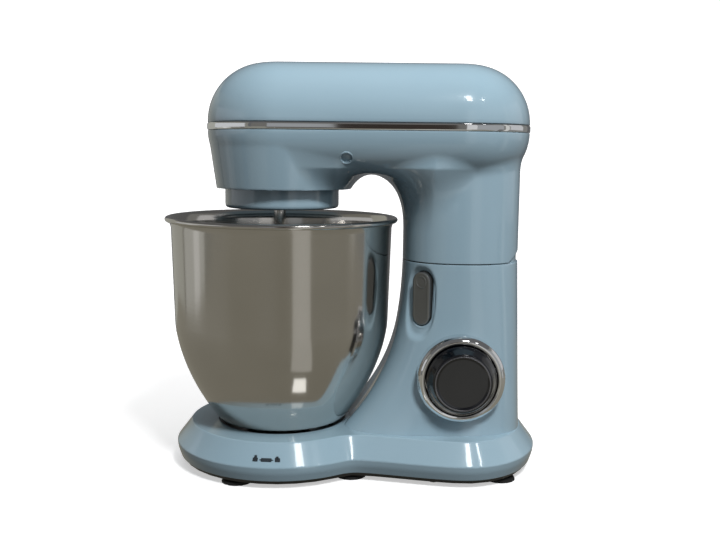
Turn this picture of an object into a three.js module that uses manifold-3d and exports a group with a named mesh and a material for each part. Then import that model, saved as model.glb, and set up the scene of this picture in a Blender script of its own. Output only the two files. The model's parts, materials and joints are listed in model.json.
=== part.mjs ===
// A tilt-head stand mixer, in millimetres, +Z up.
// It is drawn about the bowl's axis (x = 0, y = 0), with the column at +X and the speed knob facing -Y.
// The last lines move the whole mixer so that the origin is under the middle of its box.
import * as THREE from "three";
import { ParametricGeometry } from "three/addons/geometries/ParametricGeometry.js";
import { mergeVertices } from "three/addons/utils/BufferGeometryUtils.js";
import Module from "manifold-3d";

const wasm = await Module();
wasm.setup();

// ---- Driving dimensions ----

const GAP = 0.3; // between pieces that touch
const WALL = 3; // plastic shells
const ROUND = 20; // sides of a small round piece
const FINE_ROUND = 40; // sides of a large round piece

// Overall
const SEAM_Z = 178; // where the head meets the lower column
const SEAM_GAP = 0.4;
const RIM_RADIUS = 100; // the bowl's rolled rim
const RIM_CLEARANCE = 5; // rim to column
const COLUMN_HALF_LENGTH = 49.5;
const COLUMN_HALF_DEPTH = 47;
const REACH = RIM_RADIUS + RIM_CLEARANCE + COLUMN_HALF_LENGTH; // bowl axis to column axis

// Base
const LOBE_RADIUS = RIM_RADIUS - 8;
const LOBE_SWEEP = 50; // degrees either side of +X that the round lobe leaves open
const REAR_HALF_WIDTH = 86;
const REAR_LENGTH = 68; // rear end beyond the column axis
const SHELL_BOTTOM_Z = 7;
const SHELL_BOTTOM_INSET = 3;
const CREASE_Z = SHELL_BOTTOM_Z + 12;
const PLATEAU_Z = CREASE_Z + 17;
const PLATEAU_INSET = 13;
const PLATE_THICK = 3;
const PLATE_INSET = 6;
const FOOT_RADIUS = 13;
const FOOT_FLANGE = 2.2;
const RECESS_DEPTH = 12;
const RECESS_Z = PLATEAU_Z - RECESS_DEPTH;

// Column section
const COLUMN_SQUARENESS = 2.2;
const FLARE_LEAN = 4;
const FLARE_REACH = 40;
const FLARE_DEPTH = 11;
const FLARE_BITE = 8; // how far the flare would reach into the bowl's clearance if it weren't scooped
const REAR_LEAN = 3.5;

// Bowl
const RIM_Z = SEAM_Z + 35.5;
const BOWL_WALL = 1.2;
const BOWL_MOUTH_RADIUS = RIM_RADIUS - 4.5;
const BOWL_WAIST_RADIUS = RIM_RADIUS - 7.5;
const BOWL_BOTTOM_Z = PLATEAU_Z + 1;
const BOWL_WAIST_Z = BOWL_BOTTOM_Z + 0.493 * (RIM_Z - BOWL_BOTTOM_Z);
const BOWL_ROUNDING = 0.7; // share of the lower bowl's full curve that its height takes
const BOWL_CURVE = 1.6; // exponent of the curve: 2 is an ellipse
const BOWL_FOOT_STEP = 9.6; // bowl wall to bowl foot, at the bottom
const BOWL_CLEARANCE = 5;
const LUGS = 4;
const LUG_SPAN = 24; // degrees
const LUG_REACH = 4.5;
const LUG_THICK = 4;

// Head
const HEAD_RADIUS = 63;
const HEAD_REAR_X = REACH - 6.5;
const BAND_BOTTOM_Z = SEAM_Z + 108;
const BAND_HEIGHT = 6.5;
const BAND_THICK = 3;
const BAND_PROUD = 0.4;
const CROWN_HEIGHT = 50.5;
const CROWN_INSET = 50;
const NECK_Z = BAND_BOTTOM_Z - 34.5;
const NECK_INSET = 22;
const BULB_BOTTOM_RADIUS = HEAD_RADIUS - 7;
const BULB_BOTTOM_Z = NECK_Z - 14;
const ARCH_BULB_FILLET = 12;
const ARCH_COLUMN_FILLET = 15;
const ARCH_HALF_WIDTH = 30;
const PLUG_X = BULB_BOTTOM_RADIUS;
const PLUG_Z = BAND_BOTTOM_Z - 23.5;
const PLUG_RADIUS = 5;
const PLUG_LENGTH = 5.5;

// Tilt hinge
const HINGE_PIN_RADIUS = 3;
const KNUCKLE_RADIUS = HINGE_PIN_RADIUS + 3;
const HINGE_X = REACH + COLUMN_HALF_LENGTH - KNUCKLE_RADIUS - 6;
const HINGE_Z = SEAM_Z + 0.2;
const KNUCKLE_HALF_WIDTH = 9;
const LUG_PLATE = 4;
const TILT_RELIEF = 40; // degrees, five more than the head tilts

// Release button and catch
const BUTTON_TURN = 38; // degrees from -Y towards -X
const BUTTON_Z = SEAM_Z - 30;
const BUTTON_WIDTH = 17;
const BUTTON_HEIGHT = 45;
const BUTTON_DEPTH = 9;
const BUTTON_PROUD = 0.8;
const BUTTON_TRAVEL = 3;
const CATCH_DEPTH = 30; // from the column's surface to the catch rod
const CATCH_RADIUS = 3;
const LATCH_Z = SEAM_Z - 27;
const LATCH_THICK = 4;

// Speed knob
const KNOB_X = REACH - 2.5;
const KNOB_Z = PLATEAU_Z + 48;
const KNOB_RADIUS = 29;
const KNOB_PROUD = 10; // beyond the bezel
const BEZEL_RADIUS = KNOB_RADIUS + 7.3;
const BEZEL_FRONT_Y = -COLUMN_HALF_DEPTH - 15;
const BEZEL_DEPTH = 16;
const CONTROL_SHAFT_RADIUS = 3;

// Cord gland
const GLAND_Y = 22;
const GLAND_Z = PLATEAU_Z + 18;
const GLAND_RADIUS = 7;

// Drive train
const GEAR_MODULE = 1.5;
const GEAR_TEETH = 48;
const PINION_TEETH = 12;
const RING_MODULE = 2;
const RING_TEETH = 36;
const PLANET_TEETH = 12;
const PRESSURE_ANGLE = THREE.MathUtils.degToRad(25);
const ADDENDUM = 0.8; // in modules
const DEDENDUM = 1.1; // in modules
const BACKLASH = 0.4;
const SHAFT_RADIUS = 4;
const TOOL_SHAFT_RADIUS = 5;
const TOOL_END_Z = BULB_BOTTOM_Z - 38.5;
const SKIRT_RADIUS = BULB_BOTTOM_RADIUS - 7.2;
const SKIRT_CLEARANCE = 1.7;
const SKIRT_BOTTOM_Z = BULB_BOTTOM_Z - 16.5;
const SKIRT_TOP_Z = BULB_BOTTOM_Z + 5.5;
const RING_BOTTOM_Z = SKIRT_TOP_Z + 3;
const CASE_Z = RING_BOTTOM_Z + 14;
const CASE_HEIGHT = 30;
const GEAR_BOTTOM_Z = CASE_Z + 10;
const GEAR_WIDTH = 8;
const SMALL_PULLEY_RADIUS = 8;
const BIG_PULLEY_RADIUS = 40;
const BELT_Z = BAND_BOTTOM_Z + 20;
const BELT_WIDTH = 8;
const BELT_THICK = 2;

// Motor
const MOTOR_RADIUS = 31;
const MOTOR_Z = SEAM_Z + 31;
const STATOR_HEIGHT = 40;
const ARMATURE_RADIUS = 18.3;
const AIR_GAP = 0.9;
const COMMUTATOR_RADIUS = 10;
const FAN_RADIUS = 25;

// ---- Solids ----

// A closed geometry as a solid that can be joined and cut.
function solid(geometry) {
  const bare = geometry.index ? geometry.toNonIndexed() : geometry.clone();
  bare.deleteAttribute("normal");
  bare.deleteAttribute("uv");
  const merged = mergeVertices(bare);
  const corners = merged.index.array;
  const kept = [];
  for (let i = 0; i < corners.length; i += 3) {
    const [a, b, c] = [corners[i], corners[i + 1], corners[i + 2]];
    if (a !== b && b !== c && c !== a) kept.push(a, b, c);
  }
  const mesh = new wasm.Mesh({
    numProp: 3,
    vertProperties: new Float32Array(merged.attributes.position.array),
    triVerts: new Uint32Array(kept),
  });
  return new wasm.Manifold(mesh);
}

const join = (first, ...others) => others.reduce((sum, other) => sum.add(other), first);
const cut = (first, ...others) => others.reduce((rest, other) => rest.subtract(other), first);

function block(x0, x1, y0, y1, z0, z1) {
  const box = new THREE.BoxGeometry(x1 - x0, y1 - y0, z1 - z0);
  return solid(box.translate((x0 + x1) / 2, (y0 + y1) / 2, (z0 + z1) / 2));
}

// Round bars along each axis. A bar along Z may taper from one radius to another.
function barZ(x, y, z0, z1, radius, topRadius = radius, sides = ROUND) {
  const bar = new THREE.CylinderGeometry(topRadius, radius, z1 - z0, sides);
  return solid(bar.rotateX(Math.PI / 2).translate(x, y, (z0 + z1) / 2));
}

function barY(x, z, y0, y1, radius, sides = ROUND) {
  return solid(new THREE.CylinderGeometry(radius, radius, y1 - y0, sides).translate(x, (y0 + y1) / 2, z));
}

function barX(y, z, x0, x1, radius, sides = ROUND) {
  const bar = new THREE.CylinderGeometry(radius, radius, x1 - x0, sides);
  return solid(bar.rotateZ(Math.PI / 2).translate((x0 + x1) / 2, y, z));
}

function tubeZ(x, y, z0, z1, outer, inner) {
  return cut(barZ(x, y, z0, z1, outer), barZ(x, y, z0 - 1, z1 + 1, inner));
}

// Turns an outline of [radius, height] pairs about the Z axis.
function turned(outline, sides = FINE_ROUND) {
  const points = outline.map(([radius, height]) => new THREE.Vector2(radius, height));
  return solid(new THREE.LatheGeometry(points, sides).rotateX(Math.PI / 2));
}

function prism(shape, z0, z1, curveSegments = 8) {
  const options = { depth: z1 - z0, bevelEnabled: false, curveSegments };
  return solid(new THREE.ExtrudeGeometry(shape, options).translate(0, 0, z0));
}

// A closed skin through rings of points, each ring counter-clockwise seen from above.
function loft(rings) {
  const middle = (ring) => {
    const sum = ring.reduce((total, point) => total.add(point), new THREE.Vector3());
    return ring.map(() => sum.clone().divideScalar(ring.length));
  };
  const rows = [middle(rings[0]), ...rings, middle(rings.at(-1))];
  const around = rings[0].length;
  const surface = (u, v, target) => {
    const row = rows[Math.round(v * (rows.length - 1))];
    target.copy(row[Math.round(u * around) % around]);
  };
  return solid(new ParametricGeometry(surface, around, rows.length - 1));
}

const degrees = THREE.MathUtils.degToRad;
const steps = (count) => Array.from({ length: count + 1 }, (_, i) => i / count);

// ---- Outlines ----

// The base seen from above, at its crease.
function baseOutline() {
  const open = degrees(LOBE_SWEEP);
  const lobeEnd = new THREE.Vector2(Math.cos(open), Math.sin(open)).multiplyScalar(LOBE_RADIUS);
  const lead = new THREE.Vector2(Math.sin(open), -Math.cos(open)).multiplyScalar(10);
  const rearLead = 28;
  const path = new THREE.Path();
  path.absellipse(REACH, 0, REAR_LENGTH, REAR_HALF_WIDTH, 0, Math.PI / 2, false, 0);
  path.bezierCurveTo(
    REACH - rearLead, REAR_HALF_WIDTH,
    lobeEnd.x + lead.x, lobeEnd.y + lead.y,
    lobeEnd.x, lobeEnd.y,
  );
  path.absarc(0, 0, LOBE_RADIUS, open, 2 * Math.PI - open, false);
  path.bezierCurveTo(
    lobeEnd.x + lead.x, -lobeEnd.y - lead.y,
    REACH - rearLead, -REAR_HALF_WIDTH,
    REACH, -REAR_HALF_WIDTH,
  );
  path.absellipse(REACH, 0, REAR_LENGTH, REAR_HALF_WIDTH, -Math.PI / 2, 0, false, 0);
  return path.getSpacedPoints(52).slice(0, -1);
}

const BASE_OUTLINE = baseOutline();

// The base outline moved inwards, at a height.
function baseRing(inset, z) {
  const count = BASE_OUTLINE.length;
  return BASE_OUTLINE.map((point, i) => {
    const before = BASE_OUTLINE[(i + count - 1) % count];
    const after = BASE_OUTLINE[(i + 1) % count];
    const along = after.clone().sub(before).normalize();
    return new THREE.Vector3(point.x - along.y * inset, point.y + along.x * inset, z);
  });
}

// The column's section: 0 at the seam, 1 at the plateau.
function columnRing(z, inset, bite = 0, sides = 32) {
  const drop = Math.max(0, (SEAM_Z - z) / (SEAM_Z - PLATEAU_Z));
  const front = REACH - COLUMN_HALF_LENGTH + inset
    - FLARE_LEAN * drop - FLARE_REACH * drop ** 3 - bite * drop ** 2;
  const rear = REACH + COLUMN_HALF_LENGTH - inset + REAR_LEAN * Math.min(drop, 1);
  const depth = COLUMN_HALF_DEPTH - inset + FLARE_DEPTH * drop ** 3;
  const power = 2 / (COLUMN_SQUARENESS + Math.min(drop, 1));
  const round = (value) => Math.sign(value) * Math.abs(value) ** power;
  return steps(sides).slice(0, -1).map((turn) => {
    const x = (front + rear) / 2 + ((rear - front) / 2) * round(Math.cos(2 * Math.PI * turn));
    return new THREE.Vector3(x, depth * round(Math.sin(2 * Math.PI * turn)), z);
  });
}

// The head seen from above, moved inwards, at a height.
function headRing(inset, z) {
  const radius = HEAD_RADIUS - inset;
  const half = (centre, start) => steps(16).map((turn) => {
    const angle = start + Math.PI * turn;
    return new THREE.Vector3(centre + radius * Math.cos(angle), radius * Math.sin(angle), z);
  });
  return [...half(HEAD_REAR_X, -Math.PI / 2), ...half(0, Math.PI / 2)];
}

function bowlRadius(z) {
  const drop = (BOWL_WAIST_Z - z) * (BOWL_ROUNDING / (BOWL_WAIST_Z - BOWL_BOTTOM_Z));
  if (z < BOWL_WAIST_Z) return BOWL_WAIST_RADIUS * (1 - drop ** BOWL_CURVE) ** (1 / BOWL_CURVE);
  return THREE.MathUtils.lerp(
    BOWL_WAIST_RADIUS, BOWL_MOUTH_RADIUS, (z - BOWL_WAIST_Z) / (RIM_Z - BOWL_WAIST_Z));
}

const RECESS_RADIUS = bowlRadius(BOWL_BOTTOM_Z) + 0.4;
const BOWL_FOOT_RADIUS = bowlRadius(BOWL_BOTTOM_Z) - BOWL_FOOT_STEP;
const LOWER_BOWL_Z = steps(6).map((t) =>
  BOWL_WAIST_Z - (BOWL_WAIST_Z - BOWL_BOTTOM_Z) * Math.cos((t * Math.PI) / 2));

function bowlClearance(clearance) {
  const heights = [...LOWER_BOWL_Z, RIM_Z];
  const wall = heights.map((z) => [bowlRadius(z) + clearance, z]);
  return turned([[0, BOWL_BOTTOM_Z - clearance], [wall[0][0], BOWL_BOTTOM_Z - clearance], ...wall,
    [0, RIM_Z]]);
}

// ---- Gears ----

const involute = (angle) => Math.tan(angle) - angle;

// A gear's outline. Extra thickness is added to each tooth at the pitch circle, and is negative for backlash.
function gearPoints(teeth, module, tip, root, extra, turn) {
  const pitch = (teeth * module) / 2;
  const base = pitch * Math.cos(PRESSURE_ANGLE);
  const halfTooth = (radius) => {
    const angle = Math.acos(Math.min(1, base / Math.max(radius, base)));
    return Math.PI / (2 * teeth) + extra / (2 * pitch) + involute(PRESSURE_ANGLE) - involute(angle);
  };
  const radii = teeth > 20 ? [root, tip] : [root, (root + tip) / 2, tip];
  const points = [];
  for (let tooth = 0; tooth < teeth; tooth++) {
    const middle = turn + (2 * Math.PI * tooth) / teeth;
    const flank = (radius, side) => {
      const angle = middle + side * halfTooth(radius);
      points.push(new THREE.Vector2(radius * Math.cos(angle), radius * Math.sin(angle)));
    };
    radii.forEach((radius) => flank(radius, -1));
    radii.toReversed().forEach((radius) => flank(radius, 1));
  }
  return points;
}

function gear(teeth, module, z0, z1, x, y, turn, bore) {
  const pitch = (teeth * module) / 2;
  const points = gearPoints(
    teeth, module, pitch + ADDENDUM * module, pitch - DEDENDUM * module, -BACKLASH / 2, turn);
  const body = prism(new THREE.Shape(points.map((p) => p.add(new THREE.Vector2(x, y)))), z0, z1);
  return cut(body, barZ(x, y, z0 - 1, z1 + 1, bore + GAP));
}

const LAYSHAFT_X = ((GEAR_TEETH + PINION_TEETH) * GEAR_MODULE) / 2; // bowl axis to layshaft
const ORBIT = ((RING_TEETH - PLANET_TEETH) * RING_MODULE) / 2; // bowl axis to tool shaft

// ---- The assembly ----

const PAINTS = {
  blue: { color: 0xa8c4d2, roughness: 0.22, metalness: 0 },
  chrome: { color: 0xd8dadc, roughness: 0.08, metalness: 1 },
  steel: { color: 0xb9b6ae, roughness: 0.14, metalness: 1 },
  darkMetal: { color: 0x505250, roughness: 0.3, metalness: 0.9 },
  black: { color: 0x0a0b10, roughness: 0.2, metalness: 0 },
  rubber: { color: 0x161616, roughness: 0.8, metalness: 0 },
  plain: { color: 0x8b8d90, roughness: 0.5, metalness: 0.6 },
  nylon: { color: 0xd9d5c6, roughness: 0.55, metalness: 0 },
  copper: { color: 0xa4623a, roughness: 0.4, metalness: 0.8 },
  board: { color: 0x1f5a37, roughness: 0.5, metalness: 0 },
};

const mixer = new THREE.Group();

function piece(name, made, paint) {
  const { numProp, vertProperties, triVerts } = made.getMesh();
  const positions = new Float32Array((vertProperties.length / numProp) * 3);
  for (let i = 0; i < positions.length / 3; i++) {
    positions.set(vertProperties.subarray(i * numProp, i * numProp + 3), i * 3);
  }
  const geometry = new THREE.BufferGeometry();
  geometry.setAttribute("position", new THREE.BufferAttribute(positions, 3));
  geometry.setIndex(new THREE.BufferAttribute(new Uint32Array(triVerts), 1));
  geometry.computeVertexNormals();
  const mesh = new THREE.Mesh(geometry, new THREE.MeshStandardMaterial(PAINTS[paint]));
  mesh.name = name;
  mixer.add(mesh);
}

// ---- Base and lower column ----

const buttonOut = new THREE.Vector3(-Math.sin(degrees(BUTTON_TURN)), -Math.cos(degrees(BUTTON_TURN)), 0);
const buttonFace = columnRing(BUTTON_Z, 0, 0, 720).reduce((far, point) =>
  (point.dot(buttonOut) > far.dot(buttonOut) ? point : far));

// Puts a geometry drawn with +X into the column, Y sideways and Z up at the button.
function atButton(geometry) {
  const inward = buttonOut.clone().negate();
  const up = new THREE.Vector3(0, 0, 1);
  const across = up.clone().cross(inward);
  const place = new THREE.Matrix4().makeBasis(inward, across, up);
  place.setPosition(buttonFace.x, buttonFace.y, 0);
  return solid(geometry.applyMatrix4(place));
}

function buttonBlock(in0, in1, across0, across1, z0, z1) {
  const box = new THREE.BoxGeometry(in1 - in0, across1 - across0, z1 - z0);
  return atButton(box.translate((in0 + in1) / 2, (across0 + across1) / 2, (z0 + z1) / 2));
}

function buttonPrism(grow, in0, in1) {
  const radius = BUTTON_WIDTH / 2 + grow;
  const straight = (BUTTON_HEIGHT - BUTTON_WIDTH) / 2;
  const shape = new THREE.Shape();
  shape.absarc(0, straight, radius, 0, Math.PI, false);
  shape.absarc(0, -straight, radius, Math.PI, 2 * Math.PI, false);
  const bar = new THREE.ExtrudeGeometry(shape, { depth: in1 - in0, bevelEnabled: false, curveSegments: 10 });
  const turn = new THREE.Matrix4().makeBasis(
    new THREE.Vector3(0, 1, 0), new THREE.Vector3(0, 0, 1), new THREE.Vector3(1, 0, 0));
  return atButton(bar.applyMatrix4(turn).translate(in0, 0, BUTTON_Z));
}

const catchPlace = buttonFace.clone().addScaledVector(buttonOut, -CATCH_DEPTH);

const COLUMN_HEIGHTS = [0.015, 0.11, 0.24, 0.4, 0.61].map((t) => THREE.MathUtils.lerp(PLATEAU_Z, SEAM_Z, t));

function columnSolid(inset, clearance, bottom, top) {
  const heights = [bottom, ...COLUMN_HEIGHTS.filter((z) => z > bottom), top];
  return cut(loft(heights.map((z) => columnRing(z, inset, FLARE_BITE))), bowlClearance(clearance));
}

const PLATE_TOP_Z = SHELL_BOTTOM_Z - GAP;
const PLATE_BOTTOM_Z = PLATE_TOP_Z - PLATE_THICK;
const SCREW_COLUMNS = [
  [-0.57 * LOBE_RADIUS, 0.44 * LOBE_RADIUS],
  [REACH - 24.5, REAR_HALF_WIDTH - 18],
];
const SCREW_PLACES = SCREW_COLUMNS.flatMap(([x, y]) => [[x, y], [x, -y]]);
const SCREW_RADIUS = 2;
const SCREW_TOP_Z = PLATE_TOP_Z + 6;
const BOSS_RADIUS = 4.5;

const GLAND_INNER_X = REACH + COLUMN_HALF_LENGTH - 10;

function baseShell() {
  const top = SEAM_Z - SEAM_GAP / 2;
  const foot = loft([
    baseRing(SHELL_BOTTOM_INSET, SHELL_BOTTOM_Z),
    baseRing(0.6, CREASE_Z - 5),
    baseRing(0, CREASE_Z),
    baseRing(PLATEAU_INSET - 2.5, PLATEAU_Z - 1.5),
    baseRing(PLATEAU_INSET, PLATEAU_Z),
  ]);
  const outside = join(foot, columnSolid(0, BOWL_CLEARANCE, CREASE_Z + 2, top));
  const footInside = loft([
    baseRing(SHELL_BOTTOM_INSET + WALL, SHELL_BOTTOM_Z - 1),
    baseRing(WALL, CREASE_Z),
    baseRing(PLATEAU_INSET + WALL * 0.6, PLATEAU_Z - WALL),
  ]);
  const columnInside = columnSolid(WALL, BOWL_CLEARANCE + WALL, CREASE_Z + 5, top + 1);
  const recess = barZ(0, 0, RECESS_Z, PLATEAU_Z + 1, RECESS_RADIUS, RECESS_RADIUS, FINE_ROUND);
  const wallRadius = RECESS_RADIUS + WALL;
  const recessWall = barZ(0, 0, RECESS_Z - WALL, PLATEAU_Z + 1, wallRadius, wallRadius, FINE_ROUND);
  const bosses = SCREW_PLACES.map(([x, y]) =>
    barZ(x, y, SHELL_BOTTOM_Z, PLATEAU_Z - 1, BOSS_RADIUS, BOSS_RADIUS, 12));
  const screwHoles = SCREW_PLACES.map(([x, y]) =>
    barZ(x, y, 0, SCREW_TOP_Z + 1, SCREW_RADIUS + GAP, SCREW_RADIUS + GAP, 8));
  const inside = cut(join(footInside, columnInside), recessWall, ...bosses);
  return cut(
    outside,
    inside,
    ...screwHoles,
    recess,
    buttonPrism(GAP * 2, -5, 2 * WALL + 2),
    barY(KNOB_X, KNOB_Z, BEZEL_FRONT_Y - 30, BEZEL_FRONT_Y + 30, BEZEL_RADIUS + GAP, FINE_ROUND),
    barX(GLAND_Y, GLAND_Z, GLAND_INNER_X, GLAND_INNER_X + 40, GLAND_RADIUS + GAP),
  );
}

piece("base_shell", baseShell(), "blue");

piece("base_plate", cut(
  loft([baseRing(PLATE_INSET, PLATE_BOTTOM_Z), baseRing(PLATE_INSET, PLATE_TOP_Z)]),
  ...SCREW_PLACES.map(([x, y]) =>
    barZ(x, y, PLATE_BOTTOM_Z - 1, PLATE_TOP_Z + 1, SCREW_RADIUS + GAP, SCREW_RADIUS + GAP, 8)),
), "black");

SCREW_PLACES.forEach(([x, y], i) => {
  const head = barZ(x, y, PLATE_BOTTOM_Z - GAP - 2, PLATE_BOTTOM_Z - GAP, 4, 4, 8);
  const shank = barZ(x, y, PLATE_BOTTOM_Z - 1, SCREW_TOP_Z, SCREW_RADIUS, SCREW_RADIUS, 8);
  piece(`plate_screw_${i + 1}`, join(head, shank), "plain");
});

const FOOT_COLUMNS = [
  [-0.34 * LOBE_RADIUS, 0.74 * LOBE_RADIUS],
  [0.4 * REACH, 52],
  [REACH + 31.5, REAR_HALF_WIDTH - 30],
];
const FOOT_PLACES = FOOT_COLUMNS.flatMap(([x, y]) => [[x, y], [x, -y]]);

FOOT_PLACES.forEach(([x, y], i) => {
  const cup = barZ(x, y, 0, FOOT_FLANGE, FOOT_RADIUS, FOOT_RADIUS - 1, 16);
  const hollow = barZ(x, y, -1, 1.2, FOOT_RADIUS - 2, FOOT_RADIUS - 5, 16);
  const stem = barZ(x, y, FOOT_FLANGE - 0.5, PLATE_BOTTOM_Z - GAP, FOOT_RADIUS - 5, FOOT_RADIUS - 5, 12);
  piece(`suction_foot_${i + 1}`, cut(join(cup, stem), hollow), "rubber");
});

// A ring sector about the bowl axis, for the bowl's lugs and the seat's tabs.
function sector(inner, outer, middle, span, z0, z1) {
  const [start, end] = [degrees(middle - span / 2), degrees(middle + span / 2)];
  const shape = new THREE.Shape();
  shape.absarc(0, 0, outer, start, end, false);
  shape.absarc(0, 0, inner, end, start, true);
  return prism(shape, z0, z1, 4);
}

const lugAngles = steps(LUGS).slice(0, -1).map((turn) => 45 + 360 * turn);
const SEAT_TOP_Z = PLATEAU_Z - 1;
const SEAT_RADIUS = RECESS_RADIUS - GAP;
const SEAT_FLOOR_Z = RECESS_Z + GAP;
const SEAT_FLOOR_TOP_Z = SEAT_FLOOR_Z + 2;
const BOWL_FOOT_Z = SEAT_FLOOR_TOP_Z + 0.5;
const LUG_Z = BOWL_FOOT_Z + 0.7;
const TAB_Z = LUG_Z + LUG_THICK + 0.7;

piece("bowl_seat", join(
  turned([[30, SEAT_FLOOR_Z], [SEAT_RADIUS, SEAT_FLOOR_Z], [SEAT_RADIUS, SEAT_TOP_Z],
    [SEAT_RADIUS - 2.5, SEAT_TOP_Z], [SEAT_RADIUS - 2.5, SEAT_FLOOR_TOP_Z], [30, SEAT_FLOOR_TOP_Z],
    [30, SEAT_FLOOR_Z]]),
  ...lugAngles.map((angle) =>
    sector(BOWL_FOOT_RADIUS + 1.3, SEAT_RADIUS - 2, angle, LUG_SPAN, TAB_Z, SEAT_TOP_Z)),
), "plain");

// ---- Bowl ----

function bowl() {
  const inside = LOWER_BOWL_Z.slice(1).toReversed().map((z) => [bowlRadius(z) - BOWL_WALL, z]);
  const foot = BOWL_FOOT_RADIUS;
  const outline = [
    [0, BOWL_BOTTOM_Z],
    [foot - 2, BOWL_BOTTOM_Z],
    [foot - 2, BOWL_FOOT_Z],
    [foot, BOWL_FOOT_Z],
    [foot, BOWL_BOTTOM_Z],
    ...LOWER_BOWL_Z.map((z) => [bowlRadius(z), z]),
    [BOWL_MOUTH_RADIUS - 0.3, RIM_Z - 6],
    [RIM_RADIUS - 3, RIM_Z - 4.2],
    [RIM_RADIUS - 0.6, RIM_Z - 3.8],
    [RIM_RADIUS, RIM_Z - 2.2],
    [RIM_RADIUS - 0.8, RIM_Z - 0.5],
    [RIM_RADIUS - 2.4, RIM_Z],
    [BOWL_MOUTH_RADIUS - BOWL_WALL + 0.8, RIM_Z - 1.2],
    [BOWL_MOUTH_RADIUS - BOWL_WALL - 0.3, RIM_Z - 4],
    ...inside,
    [bowlRadius(BOWL_BOTTOM_Z) - 3, BOWL_BOTTOM_Z + BOWL_WALL],
    [0, BOWL_BOTTOM_Z + BOWL_WALL],
  ];
  const lugs = lugAngles.map((angle) =>
    sector(foot - 1, foot + LUG_REACH, angle, LUG_SPAN, LUG_Z, LUG_Z + LUG_THICK));
  return join(turned(outline), ...lugs);
}

piece("bowl", bowl(), "steel");

// ---- Column deck, hinge and catch ----

const BRACKET_FOOT = 1.4;
const DECK_TOP_Z = HINGE_Z - KNUCKLE_RADIUS - BRACKET_FOOT - GAP - 0.5;
const DECK_Z = DECK_TOP_Z - 4;
const HOOK_BOTTOM_Z = LATCH_Z - 1.5;
const hingeAhead = HINGE_X - catchPlace.x;
const CATCH_SWING = Math.hypot(hingeAhead, HINGE_Z - HOOK_BOTTOM_Z) - hingeAhead + 4; // forwards, on tilting
const LATCH_WINDOW = [CATCH_DEPTH - CATCH_RADIUS - BUTTON_TRAVEL - 2.1, CATCH_DEPTH + CATCH_RADIUS + 0.5];
const LATCH_SIDES = [-CATCH_RADIUS - 0.8, CATCH_RADIUS + 2.7];
const LATCH_END = LATCH_WINDOW[1] + 3.5;

function columnDeck() {
  const plate = loft([columnRing(DECK_Z, WALL + GAP), columnRing(DECK_TOP_Z, WALL + GAP)]);
  const rails = [LATCH_SIDES[0] - 5.6, LATCH_SIDES[1] + 3.4].map((side) =>
    buttonBlock(14, LATCH_WINDOW[0] + 6, side, side + 2.2, LATCH_Z - 1, DECK_Z + 1));
  const springSeat = buttonBlock(LATCH_END + 13, LATCH_END + 16, -5, 5, LATCH_Z - 2, DECK_Z + 1);
  const slot = block(catchPlace.x - CATCH_SWING - CATCH_RADIUS - 1, catchPlace.x + CATCH_RADIUS + 1,
    catchPlace.y - CATCH_RADIUS - 1, catchPlace.y + CATCH_RADIUS + 1, DECK_Z - 1, DECK_TOP_Z + 1);
  const buttonRoom = buttonPrism(1, -5, BUTTON_DEPTH + BUTTON_TRAVEL + 1);
  return cut(join(plate, ...rails, springSeat), slot, buttonRoom);
}

piece("column_deck", columnDeck(), "plain");

const EAR_INNER = KNUCKLE_HALF_WIDTH + 0.5;
const EAR_OUTER = EAR_INNER + LUG_PLATE;

const pinBore = () => barY(HINGE_X, HINGE_Z, -EAR_OUTER - 5, EAR_OUTER + 5, HINGE_PIN_RADIUS + GAP);

function hingeBracket() {
  const foot = block(HINGE_X - 22, HINGE_X + KNUCKLE_RADIUS, -EAR_OUTER, EAR_OUTER,
    DECK_TOP_Z + GAP, DECK_TOP_Z + GAP + BRACKET_FOOT);
  const ears = [-EAR_OUTER, EAR_INNER].flatMap((y) => [
    block(HINGE_X - KNUCKLE_RADIUS, HINGE_X + KNUCKLE_RADIUS, y, y + LUG_PLATE, DECK_TOP_Z + GAP, HINGE_Z),
    barY(HINGE_X, HINGE_Z, y, y + LUG_PLATE, KNUCKLE_RADIUS),
  ]);
  return cut(join(foot, ...ears), pinBore());
}

piece("hinge_bracket", hingeBracket(), "plain");
piece("hinge_pin", barY(HINGE_X, HINGE_Z, -EAR_OUTER - 1, EAR_OUTER + 1, HINGE_PIN_RADIUS), "plain");
piece("safety_switch", block(REACH + 8, REACH + 24, -8, 8, DECK_Z - 12, DECK_Z - GAP), "black");

piece("release_button", buttonPrism(0, -BUTTON_PROUD, BUTTON_DEPTH - BUTTON_PROUD), "darkMetal");

function latchSlide() {
  const start = BUTTON_DEPTH - BUTTON_PROUD + GAP;
  const top = LATCH_Z + LATCH_THICK;
  const plate = buttonBlock(start, LATCH_END, LATCH_SIDES[0] - 3, LATCH_SIDES[1] + 3, LATCH_Z, top);
  return cut(plate, buttonBlock(...LATCH_WINDOW, ...LATCH_SIDES, LATCH_Z - 1, top + 1));
}

piece("latch_slide", latchSlide(), "plain");

function latchSpring() {
  const turns = 4;
  const start = LATCH_END + BUTTON_TRAVEL + 1;
  const length = 8;
  class Coil extends THREE.Curve {
    getPoint(t, target = new THREE.Vector3()) {
      const angle = 2 * Math.PI * turns * t;
      return target.set(start + length * t, 3 * Math.cos(angle), LATCH_Z + 2 + 3 * Math.sin(angle));
    }
  }
  const wire = new THREE.Shape().absarc(0, 0, 0.5, 0, 2 * Math.PI, false);
  return atButton(new THREE.ExtrudeGeometry(wire, { steps: 36, curveSegments: 2, extrudePath: new Coil() }));
}

piece("latch_spring", latchSpring(), "steel");

// ---- Speed control ----

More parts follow.
